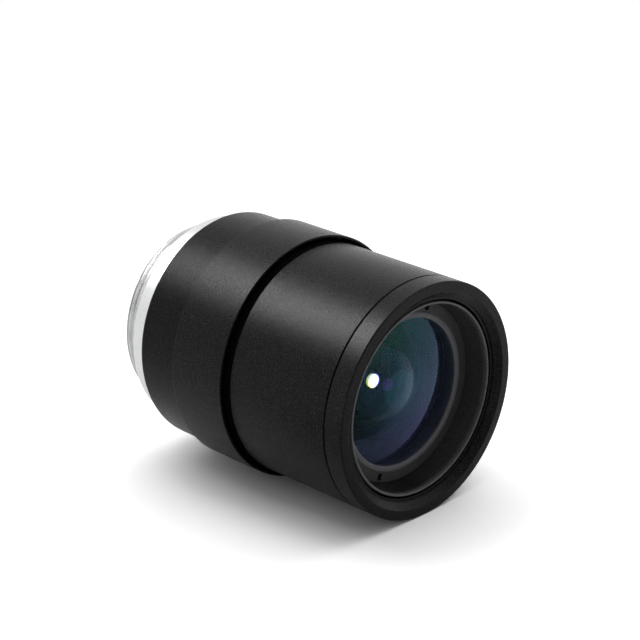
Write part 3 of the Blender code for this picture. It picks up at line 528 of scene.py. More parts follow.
def turned_black(name, colour, roughness=0.38, pitch=0.09 * MM, painted_highlight_band=None, painted_side_light=0.0):
    """Black anodised aluminium left as it came from the lathe.

    The band, if given, is two radii and a factor: between the radii the black is painted lighter
    by the factor, a painted highlight on a rim or lip.
    Inside the inner radius the black is painted lighter towards +Y, by the side factor times its
    colour: painted light on one side.
    """
    soft, side_light_reach, speckle = 0.06 * MM, 9 * MM, 0.05
    finish = Finish(name, colour, roughness)
    across = finish.tool_marks(pitch, 0.004 * MM)
    fine = finish.grain(0.09 * MM)
    finish.emboss(fine, 0.008 * MM)
    tone = finish.tints(fine, (0.3, scaled(colour, 0.8)), (0.7, scaled(colour, 1.25)))
    # Painted highlight: a band between two radii painted lighter, for a rim or lip that catches
    # the light.
    if painted_highlight_band:
        inside, outside, factor = painted_highlight_band
        band = finish.sums("MULTIPLY", finish.step(across, 0.0, factor - 1.0, inside, soft),
                           finish.step(across, 1.0, 0.0, outside, soft))
        # Painted light: inside the band the wall is painted lighter towards +Y.
        _, right, _ = finish.parts()
        side_light = finish.sums("MULTIPLY", finish.spread(right, 0.0, painted_side_light, 0.0, side_light_reach),
                           finish.step(across, 1.0, 0.0, inside, soft))
        level = finish.sums("ADD", finish.sums("ADD", band, 1.0), side_light)
        tone = finish.vectors("MULTIPLY", tone, finish.grey(level))
    finish.set(Specular_IOR_Level=0.15, Base_Color=tone,
               Roughness=finish.spread(fine, roughness - speckle, roughness + speckle))
    return finish.material


def satin_silver(name, colour):
    """Turned aluminium, clear anodised: bright, with fine tool marks."""
    finish = Finish(name, colour, 0.29, metallic=1.0)
    finish.tool_marks(0.07 * MM, 0.0009 * MM)
    finish.emboss(finish.grain(0.05 * MM), 0.0012 * MM)
    cloud = finish.grain(1.6 * MM)
    finish.set(Roughness=finish.spread(cloud, 0.25, 0.33),
               Base_Color=finish.tints(cloud, (0.3, scaled(colour, 0.93)), (0.7, colour)))
    return finish.material


def bare_metal(name, colour, roughness=0.3):
    """Bare turned metal, a little dulled in patches."""
    finish = Finish(name, colour, roughness, metallic=1.0)
    finish.tool_marks(0.06 * MM, 0.002 * MM)
    cloud = finish.grain(0.9 * MM, detail=4.0)
    finish.set(Roughness=finish.spread(cloud, roughness - 0.06, roughness + 0.1),
               Base_Color=finish.tints(cloud, (0.35, scaled(colour, 0.82)), (0.65, colour)))
    return finish.material


def dull_black(name, colour, gloss=0.15):
    """Blackened against reflections: dull, with a fine powdery grain."""
    finish = Finish(name, colour, 0.8)
    fine = finish.grain(0.12 * MM)
    finish.set(Specular_IOR_Level=gloss,
               Base_Color=finish.tints(fine, (0.35, colour), (0.7, scaled(colour, 1.6))))
    finish.emboss(fine, 0.01 * MM)
    return finish.material


def polished_glass(name, tint, film=0.0, body=(1.0, 1.0, 1.0), coat=0.0, bend=1.5):
    """Begin a polished glass whose coating tints what it reflects.

    Film is the thickness of the coating in nanometres, and bend the refractive index.
    """
    finish = Finish(name, body, 0.0)
    finish.set(Transmission_Weight=1.0, IOR=bend, Thin_Film_Thickness=film, Thin_Film_IOR=1.38,
               Coat_Weight=coat, Coat_Roughness=0.0, Specular_Tint=(*tint, 1.0))
    return finish


def front_glass(name, tints):
    """Front glass, whose coating turns from violet below to green above.

    Towards -Y, the side that the mouth shades, it is dimmer.
    """
    low, middle, high = tints
    reach, bright_from, dimmest = 7 * MM, -1 * MM, 0.5
    finish = polished_glass(name, middle, film=408.0, coat=0.1)
    _, right, up = finish.parts()
    height = finish.spread(up, 0.0, 1.0, -reach, reach)
    tone = finish.tints(height, (0.0, low), (0.5, middle), (1.0, high))
    side = finish.spread(right, dimmest, 1.0, -reach, bright_from)
    finish.set(Specular_Tint=finish.vectors("SCALE", tone, scale=side))
    return finish.material


# Painted ghosts, glowing discs for the reflections that the inner glasses throw on the hollow
# face: place, radius and light
PAINTED_GHOSTS = (
    ((-0.8 * MM, 0.65 * MM), 2.5 * MM, (0.004, 0.014, 0.019)),
    ((-3.0 * MM, 1.8 * MM), 4.4 * MM, (0.001, 0.003, 0.004)),
    ((-2.8 * MM, 1.95 * MM), 0.8 * MM, (0.016, 0.006, 0.045)),
)


def hollow_glass(name, tint):
    """Coated hollow face, with faint ghost reflections painted on it as glowing discs."""
    finish = polished_glass(name, tint)
    light, _ = finish.discs(PAINTED_GHOSTS)
    finish.set(Emission_Color=light, Emission_Strength=1.0)
    return finish.material


def pupil_glass(name, tint, place, radius=1.1 * MM, fringe=0.08 * MM):
    """Deep tinted glass with the bright pupil that comes through the stop behind it.

    The pupil is painted: a glowing disc on the front face only, for the light that comes through
    the stop. Its blue part stands a little aside from its red and green, as through a real lens,
    which gives it fringes.
    """
    finish = polished_glass(name, tint, body=(0.1, 0.16, 0.2), bend=1.22)
    light, along = finish.discs([((-fringe, 0.0), radius, (1.0, 1.0, 0.0)),
                                 ((fringe, 0.0), radius, (0.0, 0.0, 1.0))])
    in_front = finish.sums("GREATER_THAN", along, place)
    finish.set(Emission_Color=finish.vectors("SCALE", light, scale=in_front),
               Emission_Strength=1.4)
    return finish.material


# Pieces

def screw_angle(number):
    """Return the angle of a mount screw, counted from 1."""
    return math.radians(30 + 120 * (number - 1))


def thread_radius(sizes, x, angle):
    """Return the radius of the mount thread at a place and an angle.

    The turns rise out of a chamfer at the rear and end in a relief by the flange.
    """
    root = THREAD_CREST - sizes.thread_depth
    phase = (x / sizes.thread_pitch - angle / (2 * math.pi)) % 1.0
    slope = abs(phase - 0.5) * 2
    height = min(1.0, max(0.0, (slope - THREAD_FLAT) / THREAD_FLANK))
    radius = min(root + sizes.thread_depth * height,
                 root - 0.06 * MM + (x - THREAD_REAR) * 0.9)
    if x > -3 * RELIEF_WIDTH:
        radius = min(radius, root + max(0.0, -RELIEF_WIDTH - x) * 1.2)
    return radius


def make_mount_ring(look):
    """Silver mount: the thread as a real helix, its relief, the flange and the shelf."""
    sizes = bpy.context.scene.lens_sizes
    edge, root = sizes.edge_break, THREAD_CREST - sizes.thread_depth
    bore, shelf_rear = mm(11.6, 1.4)
    outline = soften([
        (FLANGE_FRONT, EYE_RADIUS, 0.0),
        (FLANGE_FRONT, FLANGE_RADIUS, 0.14 * MM),
        (0.0, FLANGE_RADIUS, 0.2 * MM),
        (0.0, root, 0.0),
    ], closed=False)
    threaded = [(x * THREAD_REAR / THREAD_ROWS, None) for x in range(1, THREAD_ROWS)]
    inner = soften([
        (THREAD_REAR, root - 0.1 * MM, 0.0),
        (THREAD_REAR, bore, edge),
        (shelf_rear, bore, edge),
        (shelf_rear, EYE_RADIUS, edge),
        (FLANGE_FRONT, EYE_RADIUS, 0.0),
    ], closed=False)
    points = outline + threaded + inner[:-1]

    def radius_at(row, x, angle):
        if points[row][1] is None:
            return thread_radius(sizes, x, angle)
        return points[row][1]

    obj = swept("threaded_mount", [x for x, _ in points], radius_at, sizes.turn_steps, closed=True)
    holes = []
    for number in (1, 2, 3):
        angle = screw_angle(number)
        hole = rod(*mm(0.85, 1, 4), steps=40)
        hole.matrix_world = Matrix.Translation(
            (0.0, SCREW_CIRCLE * math.cos(angle), SCREW_CIRCLE * math.sin(angle)))
        holes.append(hole)
    carve(obj, *holes)
    place_in(obj, look, "fixed", "mount_ring", slot="silver_anodised")


def make_mount_screw(number, look):
    """Cheese-head screw with a slot and a rounded rim."""
    node = f"mount_screw_{number}"
    shank, head, head_height = mm(0.75, 1.15, 0.8)
    slot_size = mm(0.8, 0.36, 4)
    low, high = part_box(node)
    centre = Vector((0.0, (low.y + high.y) / 2, (low.z + high.z) / 2))
    outline = [
        (high.x, 0, 0),
        (high.x, shank, 0.1 * MM),
        (low.x + head_height, shank, 0.0),
        (low.x + head_height, head, 0.05 * MM),
        (low.x, head, 0.22 * MM),
        (low.x, 0, 0),
    ]
    obj = turned(f"cheese_screw_{number}", outline, closed=False, steps=56)
    carve(obj, block("slot", slot_size, (low.x, 0, 0), screw_angle(number) + 0.5 * number))
    obj.matrix_world = Matrix.Translation(centre)
    place_in(obj, look, "fixed", node, slot="steel")


def make_housing(look):
    """Black rear housing: the first black section and the journal it hides."""
    edge = bpy.context.scene.lens_sizes.edge_break
    front, wall_front = SLEEVE_REAR - SEAT_GAP, HOUSING_REAR + 1.5 * MM
    journal, bore = mm(15.0, 13.2)
    obj = turned("rear_shell", [
        (JOURNAL_FRONT, journal, 0.1 * MM),
        (front, journal, 0.0),
        (front, HOUSING_RADIUS, edge),
        (HOUSING_REAR, HOUSING_RADIUS, 0.24 * MM),
        (HOUSING_REAR, EYE_RADIUS, edge),
        (wall_front, EYE_RADIUS, edge),
        (wall_front, bore, 0.0),
        (JOURNAL_FRONT, bore, edge),
    ])
    place_in(obj, look, "fixed", "rear_housing", slot="black_anodised")


def make_zoom_sleeve(look):
    """Zoom ring: the widest black section, with a thin open lip in front."""
    edge = bpy.context.scene.lens_sizes.edge_break
    journal_bore, hub_bore, lip_bore = mm(15.15, 11.75, 15.95)
    hub_rear, hub_front = mm(12.5, 15.3)
    obj = turned("zoom_sleeve", [
        (SLEEVE_FRONT, SLEEVE_RADIUS, 0.09 * MM),
        (SLEEVE_REAR, SLEEVE_RADIUS, 0.12 * MM),
        (SLEEVE_REAR, journal_bore, 0.0),
        (hub_rear, journal_bore, 0.0),
        (hub_rear, hub_bore, edge),
        (hub_front, hub_bore, edge),
        (hub_front, lip_bore, 0.1 * MM),
        (SLEEVE_FRONT, lip_bore, 0.08 * MM),
    ])
    carve(obj, radial_rod(LOCK_HOLE, *mm(11, 17), *ZOOM_LOCK))
    place_in(obj, look, "zoom_ring", "zoom_ring", slot="black_anodised")


def make_focus_tube(look, shadow_strip_look):
    """Focus barrel: the long tube with a dull black strip by the sleeve, a painted shadow of the
    sleeve's lip, and its nut inside.
    """
    edge = bpy.context.scene.lens_sizes.edge_break
    strip = SLEEVE_FRONT + SHADOW_STRIP_WIDTH
    rear_bore, bore, seat_bore, thread_bore = mm(14.3, 12.65, 13.5, 14.0)
    nut_rear, nut_front, nut_bore, nut_radius = mm(22.35, 26.95, 10.55, 12.3)
    web_rear, web_front, seat_rear, thread_rear = mm(23.25, 26.05, 33.0, 34.3)
    obj = turned("focus_tube", [
        (BARREL_FRONT, BARREL_RADIUS, edge),
        (strip, BARREL_RADIUS, 0.0),
        (BARREL_REAR, BARREL_RADIUS, edge),
        (BARREL_REAR, rear_bore, edge),
        (web_rear, rear_bore, 0.0),
        (web_rear, nut_radius, 0.0),
        (nut_rear, nut_radius, edge),
        (nut_rear, nut_bore, edge),
        (nut_front, nut_bore, edge),
        (nut_front, nut_radius, edge),
        (web_front, nut_radius, 0.0),
        (web_front, bore, 0.0),
        (seat_rear, bore, 0.0),
        (seat_rear, seat_bore, 0.0),
        (thread_rear, seat_bore, 0.0),
        (thread_rear, thread_bore, 0.0),
        (BARREL_FRONT, thread_bore, edge),
    ])
    carve(obj, radial_rod(LOCK_HOLE, *mm(10, 17), *FOCUS_LOCK))
    place_in(obj, look, "focus_barrel", "focus_barrel", slot="black_anodised")
    obj.data.materials.append(shadow_strip_look)
    # Painted shadow: the barrel's outer faces up to just in front of the sleeve get the dull
    # black.
    for face in obj.data.polygons:
        x, y, z = face.center
        if x < strip and math.hypot(y, z) > BARREL_RADIUS - 0.1 * MM:
            face.material_index = 1


def make_front_bezel(look):
    """Front ring: the flat face, the cone, its fine line and the lip behind it."""
    edge = bpy.context.scene.lens_sizes.edge_break
    ring_rear, lip = BARREL_FRONT + 0.2 * MM, RING_FRONT - 1.0 * MM
    face = RING_RADIUS - 1.3 * MM
    cone = face - 0.9 * MM
    thread, bore = mm(13.95, 12.95)
    obj = turned("front_bezel", [
        (RING_FRONT, RING_RADIUS, 0.17 * MM),
        (ring_rear, RING_RADIUS, edge),
        (ring_rear, thread, 0.0),
        (RING_THREAD_REAR, thread, edge),
        (RING_THREAD_REAR, bore, edge),
        (lip, bore, 0.05 * MM),
        (lip, cone, 0.03 * MM),
        (RING_FRONT - 0.78 * MM, cone, 0.04 * MM),
        (RING_FRONT, face, 0.1 * MM),
    ])
    place_in(obj, look, "focus_barrel", "front_ring", slot="black_anodised")


def make_cell_mouth(look):
    """Front cell: the rounded bright rim, the tapered wall and the spigot."""
    edge = bpy.context.scene.lens_sizes.edge_break
    rim, mouth, wall, spigot = mm(12.65, 12.35, 11.9, 8.85)
    eye, lens_bore, glass_bore = mm(6.5, 7.7, 10.7)
    flange_rear, flange_front, shoulder = mm(33.05, 34.25, 27.25)
    glass_seat, ledge = mm(28.35, 33.15)
    lip = CELL_REAR + 0.8 * MM
    obj = turned("cell_mouth", [
        (CELL_FRONT, rim, 0.12 * MM),
        (flange_front, rim, 0.0),
        (flange_front, CELL_FLANGE_RADIUS, edge),
        (flange_rear, CELL_FLANGE_RADIUS, edge),
        (flange_rear, wall, 0.0),
        (shoulder, wall, edge),
        (shoulder, spigot, 0.0),
        (CELL_REAR, spigot, edge),
        (CELL_REAR, eye, edge),
        (lip, eye, edge),
        (lip, lens_bore, 0.0),
        (glass_seat, lens_bore, edge),
        (glass_seat, glass_bore, 0.0),
        (ledge, glass_bore, 0.0),
        (ledge, wall, 0.0),
        (RETAINER_FRONT, wall, 0.0),
        (CELL_FRONT, mouth, 0.12 * MM),
    ])
    carve(obj, radial_rod(*mm(0.8, 8.2, 10, 23.9), math.radians(30)))
    place_in(obj, look, "front_group", "front_cell", slot="black_anodised")


def make_lens_retainer(look):
    """Front retainer: its rounded lip over the glass and two spanner notches."""
    lip = RETAINER_FRONT - 0.12 * MM
    underside, glass_bore, eye = mm(34.7, 10.75, 9.7)
    crown_in, crown_out, shoulder = mm(9.92, 10.3, 10.55)
    notch_size, notch_place = mm(1.2, 0.9, 0.75), 11.15 * MM
    obj = turned("lens_retainer", [
        (lip, RETAINER_RADIUS, 0.05 * MM),
        (RETAINER_REAR, RETAINER_RADIUS, 0.1 * MM),
        (RETAINER_REAR, glass_bore, 0.0),
        (underside, glass_bore, 0.0),
        (underside, eye, 0.05 * MM),
        (lip + 0.02 * MM, eye, 0.06 * MM),
        (RETAINER_FRONT, crown_in, 0.1 * MM),
        (RETAINER_FRONT, crown_out, 0.1 * MM),
        (lip, shoulder, 0.05 * MM),
    ])
    notches = []
    for angle in (math.radians(68), math.radians(248)):
        place = (lip, notch_place * math.cos(angle), notch_place * math.sin(angle))
        notches.append(block("notch", notch_size, place, angle))
    carve(obj, *notches)
    place_in(obj, look, "front_group", "front_retainer", slot="black_anodised")


def bowl(rim, rise, reach, steps=28):
    """Return (x, radius) points of a lens face from its vertex to its rim."""
    if not rise:
        return [(rim, 0.0)]
    curve = (reach * reach + rise * rise) / (2 * abs(rise))
    points = []
    for step in range(steps + 1):
        radius = reach * step / steps
        height = abs(rise) - curve + math.sqrt(curve * curve - radius * radius)
        points.append((rim + math.copysign(height, rise), radius))
    return points


def lens_outline(rims, rises, reaches, edge, bevel=0.06 * MM):
    """Return the outline of a lens from the rims, rises and reaches of its faces.

    A face that reaches less far than the edge has a flat land round it.
    """
    rear = bowl(rims[0], -rises[0], reaches[0])
    front = bowl(rims[1], rises[1], reaches[1])
    for face, reach in ((rear, reaches[0]), (front, reaches[1])):
        if reach > edge - 0.001 * MM:
            face.pop()
    return [*((x, radius, 0.0) for x, radius in front),
            (rims[1], edge, bevel), (rims[0], edge, bevel),
            *((x, radius, 0.0) for x, radius in rear[::-1])]


def make_meniscus(look, hollow_look, edge_look):
    """Front glass: gently curved in front, deeply hollow behind, its edge blackened."""
    rise, land, thickness = mm(1.4, 0.45, 1.0)
    hollow = MENISCUS_FRONT - thickness - MENISCUS_REAR
    outline = lens_outline((MENISCUS_REAR, MENISCUS_FRONT - rise), (-hollow, rise),
                           (MENISCUS_RADIUS - land, MENISCUS_RADIUS), MENISCUS_RADIUS, 0.08 * MM)
    obj = turned("front_meniscus", outline, closed=False, steps=144)
    place_in(obj, look, "front_group", "front_lens_1", slot="coated_glass")
    obj.data.materials.append(hollow_look)
    obj.data.materials.append(edge_look)
    for face in obj.data.polygons:
        x, y, z = face.center
        on_edge = math.hypot(y, z) > MENISCUS_RADIUS - 0.06 * MM
        on_land = x < MENISCUS_REAR + 0.02 * MM
        if on_edge or on_land:
            face.material_index = 2
        elif face.normal.x < 0:
            face.material_index = 1


# Inner glasses: node, body, rises of the rear and front face, and radius, in millimetres
INNER_LENSES = (
    ("front_lens_2", "front_group", (-0.7, -0.5), 7.6),
    ("front_lens_3", "front_group", (-0.9, 1.4), 7.6),
    ("rear_lens_1", "rear_group", (0.5, 0.8), 6.9),
    ("rear_lens_2", "rear_group", (1.2, 1.0), 6.9),
    ("rear_lens_3", "rear_group", (0.0, -1.2), 6.9),
    ("rear_lens_4", "rear_group", (0.45, 1.0), 6.9),
)


def make_inner_lens(node, body, rises, radius, look):
    """One of the small elements inside, with its real curves."""
    low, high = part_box(node)
    rims = (low.x + max(0.0, rises[0]) * MM, high.x - max(0.0, rises[1]) * MM)
    edge = radius * MM
    reach = edge - 1.2 * MM
    outline = lens_outline(rims, mm(*rises), (reach, reach), edge)
    obj = turned(node.replace("lens", "element"), outline, closed=False, steps=96)
    place_in(obj, look, body, node, slot="optical_glass")


def make_rear_barrel(look):
    """Rear cell: seen from behind, with its conical lip round the rear glass."""
    rear, front, radius = span("rear_cell")
    edge = bpy.context.scene.lens_sizes.edge_break
    wall, lip_width, lip_depth, cone = mm(1.85, 1.2, 1.2, 0.6)
    pin_hole, pin_depth, pin_place = mm(0.9, 0.95, 10.0)
    bore = radius - wall
    eye = bore - lip_width
    obj = turned("rear_barrel", [
        (front, radius, edge),
        (rear, radius, 0.12 * MM),
        (rear, eye + cone, edge),
        (rear + cone, eye, edge),
        (rear + lip_depth, eye, 0.0),
        (rear + lip_depth, bore, 0.0),
        (front, bore, edge),
    ], steps=128)
    carve(obj, *(radial_rod(pin_hole, radius - pin_depth, radius + 0.3 * MM, pin_place,
                            math.radians(90 + 120 * i)) for i in range(3)))
    place_in(obj, look, "rear_group", "rear_cell", slot="black_anodised")


def make_thumb_screw(node, body, lock, surface, look):
    """Thumb screw with a crossed knurl on its head."""
    sizes = bpy.context.scene.lens_sizes
    tip, shank, neck_radius, head_radius, fade = mm(10.55, 1.0, 1.35, 1.9, 0.6)
    neck = surface + 0.3 * MM
    head = neck + 0.7 * MM
    top = head + 4.2 * MM
    outline = soften([
        (top, 0, 0),
        (top, head_radius, 0.28 * MM),
        (head, head_radius, 0.28 * MM),
        (head, neck_radius, 0.05 * MM),
        (neck, neck_radius, 0.05 * MM),
        (neck, shank, 0.0),
        (tip, shank, 0.1 * MM),
        (tip, 0, 0),
    ], closed=False)
    points = []
    for (x, radius), (after, _) in zip(outline, outline[1:] + [outline[-1]]):
        points.append((x, radius))
        if x - after > 2 * MM and abs(radius - head_radius) < 0.01 * MM:
            points += [(x + (after - x) * i / KNURL_ROWS, radius) for i in range(1, KNURL_ROWS)]

    def radius_at(row, x, angle):
        radius = points[row][1]
        if radius < head_radius - 0.02 * MM:
            return radius
        inside = min(1.0, min(top - x, x - head) / fade)
        lean = (x - head) / head_radius
        left = abs(math.sin(sizes.knurl_teeth / 2 * (angle + lean)))
        right = abs(math.sin(sizes.knurl_teeth / 2 * (angle - lean)))
        return radius - sizes.knurl_depth * max(0.0, inside) * (1 - min(left, right)) ** 3

    obj = swept(node.replace("screw", "thumbscrew"), [x for x, _ in points], radius_at,
                sizes.knurl_teeth * 8, closed=False)
    obj.matrix_world = radial(*lock)
    place_in(obj, look, body, node, slot="lock_black")


# Studio

def make_camera():
    """Camera at the photograph's viewing angle and distance."""
    data = bpy.data.cameras.new("studio_camera")
    data.lens = bpy.context.scene.lens_studio.focal
    data.sensor_width = 36.0
    data.clip_start = 0.01
    data.clip_end = 50.0
    camera = bpy.data.objects.new("studio_camera", data)
    bpy.context.scene.collection.objects.link(camera)
    right, up = Vector(CAMERA_RIGHT), Vector(CAMERA_UP)
    turn = Matrix((right, up, right.cross(up))).transposed().to_4x4()
    camera.matrix_world = Matrix.Translation(CAMERA_PLACE) @ turn
    bpy.context.scene.camera = camera


def make_world():
    """White room, seen white, which gives more light from behind than from the camera's side."""
    ambient = bpy.context.scene.lens_studio.ambient
    world = bpy.data.worlds.new("white_room")
    world.use_nodes = True
    world.node_tree.nodes.clear()
    room = Nodes(world.node_tree)
    kinds, seen = room.rays()
    towards = room.node("ShaderNodeTexCoord").outputs["Generated"]
    behind = room.vectors("DOT_PRODUCT", towards, Vector(BACKLIT_SIDE).normalized())
    light = room.spread(behind, ambient * 0.3, ambient * 1.7, -0.6, 0.8)
    in_front = room.vectors("DOT_PRODUCT", towards, CAMERA_SIDE)
    dim = room.spread(in_front, 1.0, 0.2, 0.2, 0.8, "SMOOTHSTEP")
    shown = room.mixed(kinds["Is Camera Ray"], dim, 1.0)
    background = room.node("ShaderNodeBackground")
    room.feed(background.inputs["Color"], WHITE)
    room.feed(background.inputs["Strength"], room.mixed(seen, light, shown))
    output = room.node("ShaderNodeOutputWorld")
    room.feed(output.inputs["Surface"], background.outputs["Background"])
    bpy.context.scene.world = world


def make_floor():
    """White paper that the lens lies on, fading into the white room.

    What the lens reflects of it is painted darker towards the camera's side: painted shade.
    """
    paper = bpy.context.scene.lens_studio.paper
    shape = bmesh.new()
    bmesh.ops.create_grid(shape, x_segments=8, y_segments=8, size=2.0)
    floor = mesh_object("paper_floor", shape)
    floor.location = FOOT
    floor.rotation_euler = (0.0, -math.atan(FLOOR_LEAN), 0.0)
    material = bpy.data.materials.new("white_paper")
    material.use_nodes = True
    material.node_tree.nodes.clear()
    sheet = Nodes(material.node_tree)
    kinds, seen = sheet.rays()
    place = sheet.node("ShaderNodeTexCoord").outputs["Object"]
    reach = sheet.vectors("DOT_PRODUCT", place, CAMERA_SIDE_FLAT)
    # Painted shade, seen only in reflections: the paper darker towards the camera's side.
    shade = sheet.spread(reach, 0.8, 0.2, 0.006, 0.034, "SMOOTHSTEP")
    near = sheet.blended(kinds["Is Glossy Ray"], sheet.matt((paper, paper, paper, 1.0)),
                         sheet.matt(sheet.grey(shade)))
    fade = sheet.spread(sheet.vectors("LENGTH", place), 0.0, 1.0, 0.05, 0.16, "SMOOTHSTEP")
    shown = sheet.blended(fade, near, sheet.node("ShaderNodeEmission").outputs["Emission"])
    output = sheet.node("ShaderNodeOutputMaterial")
    sheet.feed(output.inputs["Surface"], sheet.blended(seen, sheet.matt(PAPER_GREY), shown))
    floor.data.materials.append(material)


def make_lamp(name, direction, distance, size, power, matt=True, gloss=True):
    """Softbox that faces the lens from a direction; its width runs round the lens."""
    data = bpy.data.lights.new(name, "AREA")
    data.shape = "RECTANGLE"
    data.size, data.size_y = size
    data.energy = power
    lamp = bpy.data.objects.new(name, data)
    bpy.context.scene.collection.objects.link(lamp)
    towards = Vector(direction).normalized()
    lamp.location = LENS_MIDDLE + towards * distance
    side = Vector((1.0, 0.0, 0.0)).cross(towards).normalized()
    turn = Matrix((side, towards.cross(side), towards)).transposed()
    lamp.rotation_euler = turn.to_euler()
    lamp.visible_camera = False
    lamp.visible_diffuse = matt
    lamp.visible_glossy = gloss


# Operators

class LENS_OT_stage(bpy.types.Operator):
    """Build the camera, the white room, the paper floor and the softboxes"""

    bl_idname = "lens.stage"
    bl_label = "Studio"

    def execute(self, context):
        """Build the stage."""
        studio = context.scene.lens_studio
        context.scene.view_settings.view_transform = "Standard"
        make_camera()
        make_world()
        make_floor()
        make_lamp("softbox", (-0.5, -0.2, 0.8), 0.5, (0.3, 0.3), studio.key)
        make_lamp("gleam", (-0.592, -0.32, 0.74), 0.22, (0.088, 0.065), studio.gleam, matt=False)
        make_lamp("overhead", (-0.1, 0.4, 1.0), 0.8, (1.0, 1.0), studio.fill, gloss=False)
        return {"FINISHED"}


class LENS_OT_mount(bpy.types.Operator):
    """Build the silver mount with its thread and its three screws"""

    bl_idname = "lens.mount"
    bl_label = "Mount"

    def execute(self, context):
        """Build the mount pieces."""
        colours = context.scene.lens_colours
        make_mount_ring(satin_silver("satin_silver", colours.silver))
        steel = bare_metal("screw_steel", colours.steel, 0.25)
        for number in (1, 2, 3):
            make_mount_screw(number, steel)
        return {"FINISHED"}


class LENS_OT_shells(bpy.types.Operator):
    """Build the rear housing, the zoom sleeve, the focus tube and the front bezel"""

    bl_idname = "lens.shells"
    bl_label = "Black shells"

    def execute(self, context):
        """Build the outer black pieces."""
        black = context.scene.lens_colours.anodised
        sleeve = blasted_black("blasted_black", black)
        # Painted shade: the housing gets a darker copy of the sleeve's black, as less light
        # reaches the rear of the lens.
        make_housing(blasted_black("housing_shaded_black", black, sparkle=9.0, gloss=0.088))
        make_zoom_sleeve(sleeve)
        # Painted shadow of the sleeve's lip on the barrel, in dull black.
        make_focus_tube(sleeve, dull_black("painted_shadow_black", black, gloss=0.0))
        make_front_bezel(blasted_black("bezel_black", black, sparkle=24.0, grain=0.07 * MM,
                                       depth=0.02 * MM))
        return {"FINISHED"}


class LENS_OT_front_cell(bpy.types.Operator):
    """Build the front cell's mouth and the retainer with its notches"""

    bl_idname = "lens.front_cell"
    bl_label = "Front cell"

    def execute(self, context):
        """Build the cell and the retainer."""
        colours = context.scene.lens_colours
        # Painted highlight on the mouth's rim, and painted light on its wall towards +Y.
        make_cell_mouth(turned_black("mouth_black", colours.inner_black, 0.3,
                                     painted_highlight_band=(12.3 * MM, 13 * MM, 11.0), painted_side_light=2.6))
        # Painted highlight on the retainer's lip.
        make_lens_retainer(turned_black("retainer_black", colours.retainer, 0.35, 0.12 * MM,
                                        painted_highlight_band=(0.0, 10.5 * MM, 2.6)))
        return {"FINISHED"}


class LENS_OT_glass(bpy.types.Operator):
    """Build the front meniscus and the six elements inside"""

    bl_idname = "lens.glass"
    bl_label = "Glass"

    def execute(self, context):
        """Build every lens element."""
        colours = context.scene.lens_colours
        edge = dull_black("edge_black", colours.glass_edge)
        tints = (colours.low_coating, colours.coating, colours.high_coating)
        make_meniscus(front_glass("front_coating", tints),
                      hollow_glass("hollow_coating", colours.hollow_coating), edge)
        clear = polished_glass("inner_coating", colours.inner_coating).material
        # The second element gets the painted pupil, a glowing disc.
        pupil = pupil_glass("painted_pupil_glass", colours.inner_coating,
                            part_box("front_lens_2")[1].x - 1.5 * MM)
        for node, body, rises, radius in INNER_LENSES:
            look = pupil if node == "front_lens_2" else clear
            make_inner_lens(node, body, rises, radius, look)
        return {"FINISHED"}


class LENS_OT_rear_group(bpy.types.Operator):
    """Build the rear barrel that slides when the lens zooms"""

    bl_idname = "lens.rear_group"
    bl_label = "Rear group"

    def execute(self, context):
        """Build the rear barrel."""
        make_rear_barrel(turned_black("cell_black", context.scene.lens_colours.inner_black))
        return {"FINISHED"}


class LENS_OT_thumb_screws(bpy.types.Operator):
    """Build the knurled screws that lock the zoom and the focus"""

    bl_idname = "lens.thumb_screws"
    bl_label = "Thumb screws"

    def execute(self, context):
        """Build both thumb screws."""
        look = turned_black("knurl_black", context.scene.lens_colours.anodised, 0.3)
        make_thumb_screw("zoom_lock_screw", "zoom_lock", ZOOM_LOCK, SLEEVE_RADIUS, look)
        make_thumb_screw("focus_lock_screw", "focus_lock", FOCUS_LOCK, BARREL_RADIUS, look)
        return {"FINISHED"}


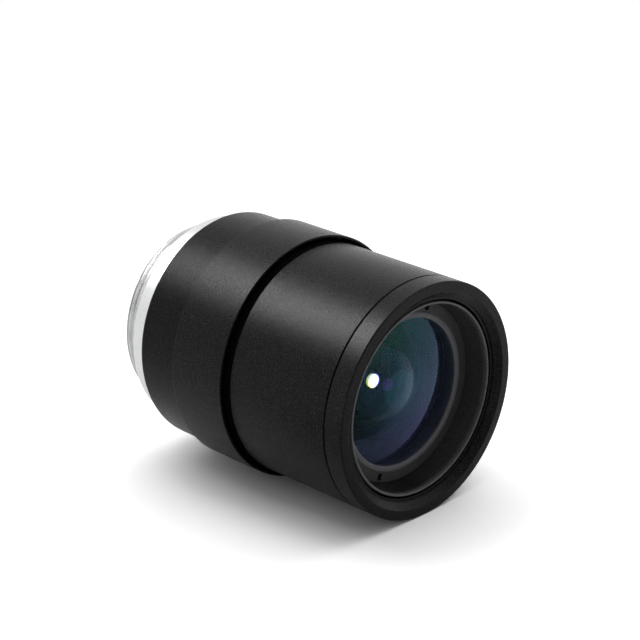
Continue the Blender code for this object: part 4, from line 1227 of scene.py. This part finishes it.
class LENS_OT_inner_works(bpy.types.Operator):
    """Give the tubes, pins, rings and clips inside their finishes"""

    bl_idname = "lens.inner_works"
    bl_label = "Inner works"

    def execute(self, context):
        """Dress the pieces whose CAD shape is right as it is."""
        colours = context.scene.lens_colours
        brass = bare_metal("tube_brass", colours.brass)
        steel = bare_metal("pin_steel", colours.steel)
        dull = dull_black("stop_black", colours.inner_black)
        looks = {
            "main_tube": brass, "cam_tube": brass,
            "cam_clip": steel, "guide_key": steel,
            "follower_pin_1": steel, "follower_pin_2": steel, "follower_pin_3": steel,
            "rear_spacer_1": dull, "rear_spacer_2": dull, "front_spacer": dull,
            "aperture_stop": dull, "rear_retainer": dull, "inner_retainer": dull,
        }
        for node, look in looks.items():
            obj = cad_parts[node]
            obj.data.materials.clear()
            obj.data.materials.append(look)
        return {"FINISHED"}


class LENS_PT_panel(bpy.types.Panel):
    """Panel that lists the steps of the build"""

    bl_idname = "LENS_PT_panel"
    bl_label = "Varifocal lens"
    bl_space_type = "VIEW_3D"
    bl_region_type = "UI"
    bl_category = "Varifocal lens"

    def draw(self, context):
        """Draw the buttons and the settings."""
        column = self.layout.column()
        for step in STEPS:
            column.operator(step.bl_idname)
        for group in ("lens_sizes", "lens_colours", "lens_studio"):
            settings = getattr(context.scene, group)
            for name in settings.__annotations__:
                column.prop(settings, name)


STEPS = (LENS_OT_stage, LENS_OT_mount, LENS_OT_shells, LENS_OT_front_cell, LENS_OT_glass,
         LENS_OT_rear_group, LENS_OT_thumb_screws, LENS_OT_inner_works)
CLASSES = (LensSizes, LensColours, Studio, *STEPS, LENS_PT_panel)


def register():
    """Register the classes and hang the settings on the scene."""
    for item in CLASSES:
        bpy.utils.register_class(item)
    bpy.types.Scene.lens_sizes = PointerProperty(type=LensSizes)
    bpy.types.Scene.lens_colours = PointerProperty(type=LensColours)
    bpy.types.Scene.lens_studio = PointerProperty(type=Studio)


def unregister():
    """Take the settings and the classes away again."""
    del bpy.types.Scene.lens_studio
    del bpy.types.Scene.lens_colours
    del bpy.types.Scene.lens_sizes
    for item in reversed(CLASSES):
        bpy.utils.unregister_class(item)


def main():
    """Build the studio and the lens."""
    register()
    for step in STEPS:
        group, name = step.bl_idname.split(".")
        getattr(getattr(bpy.ops, group), name)()


if __name__ == "__main__":
    main()
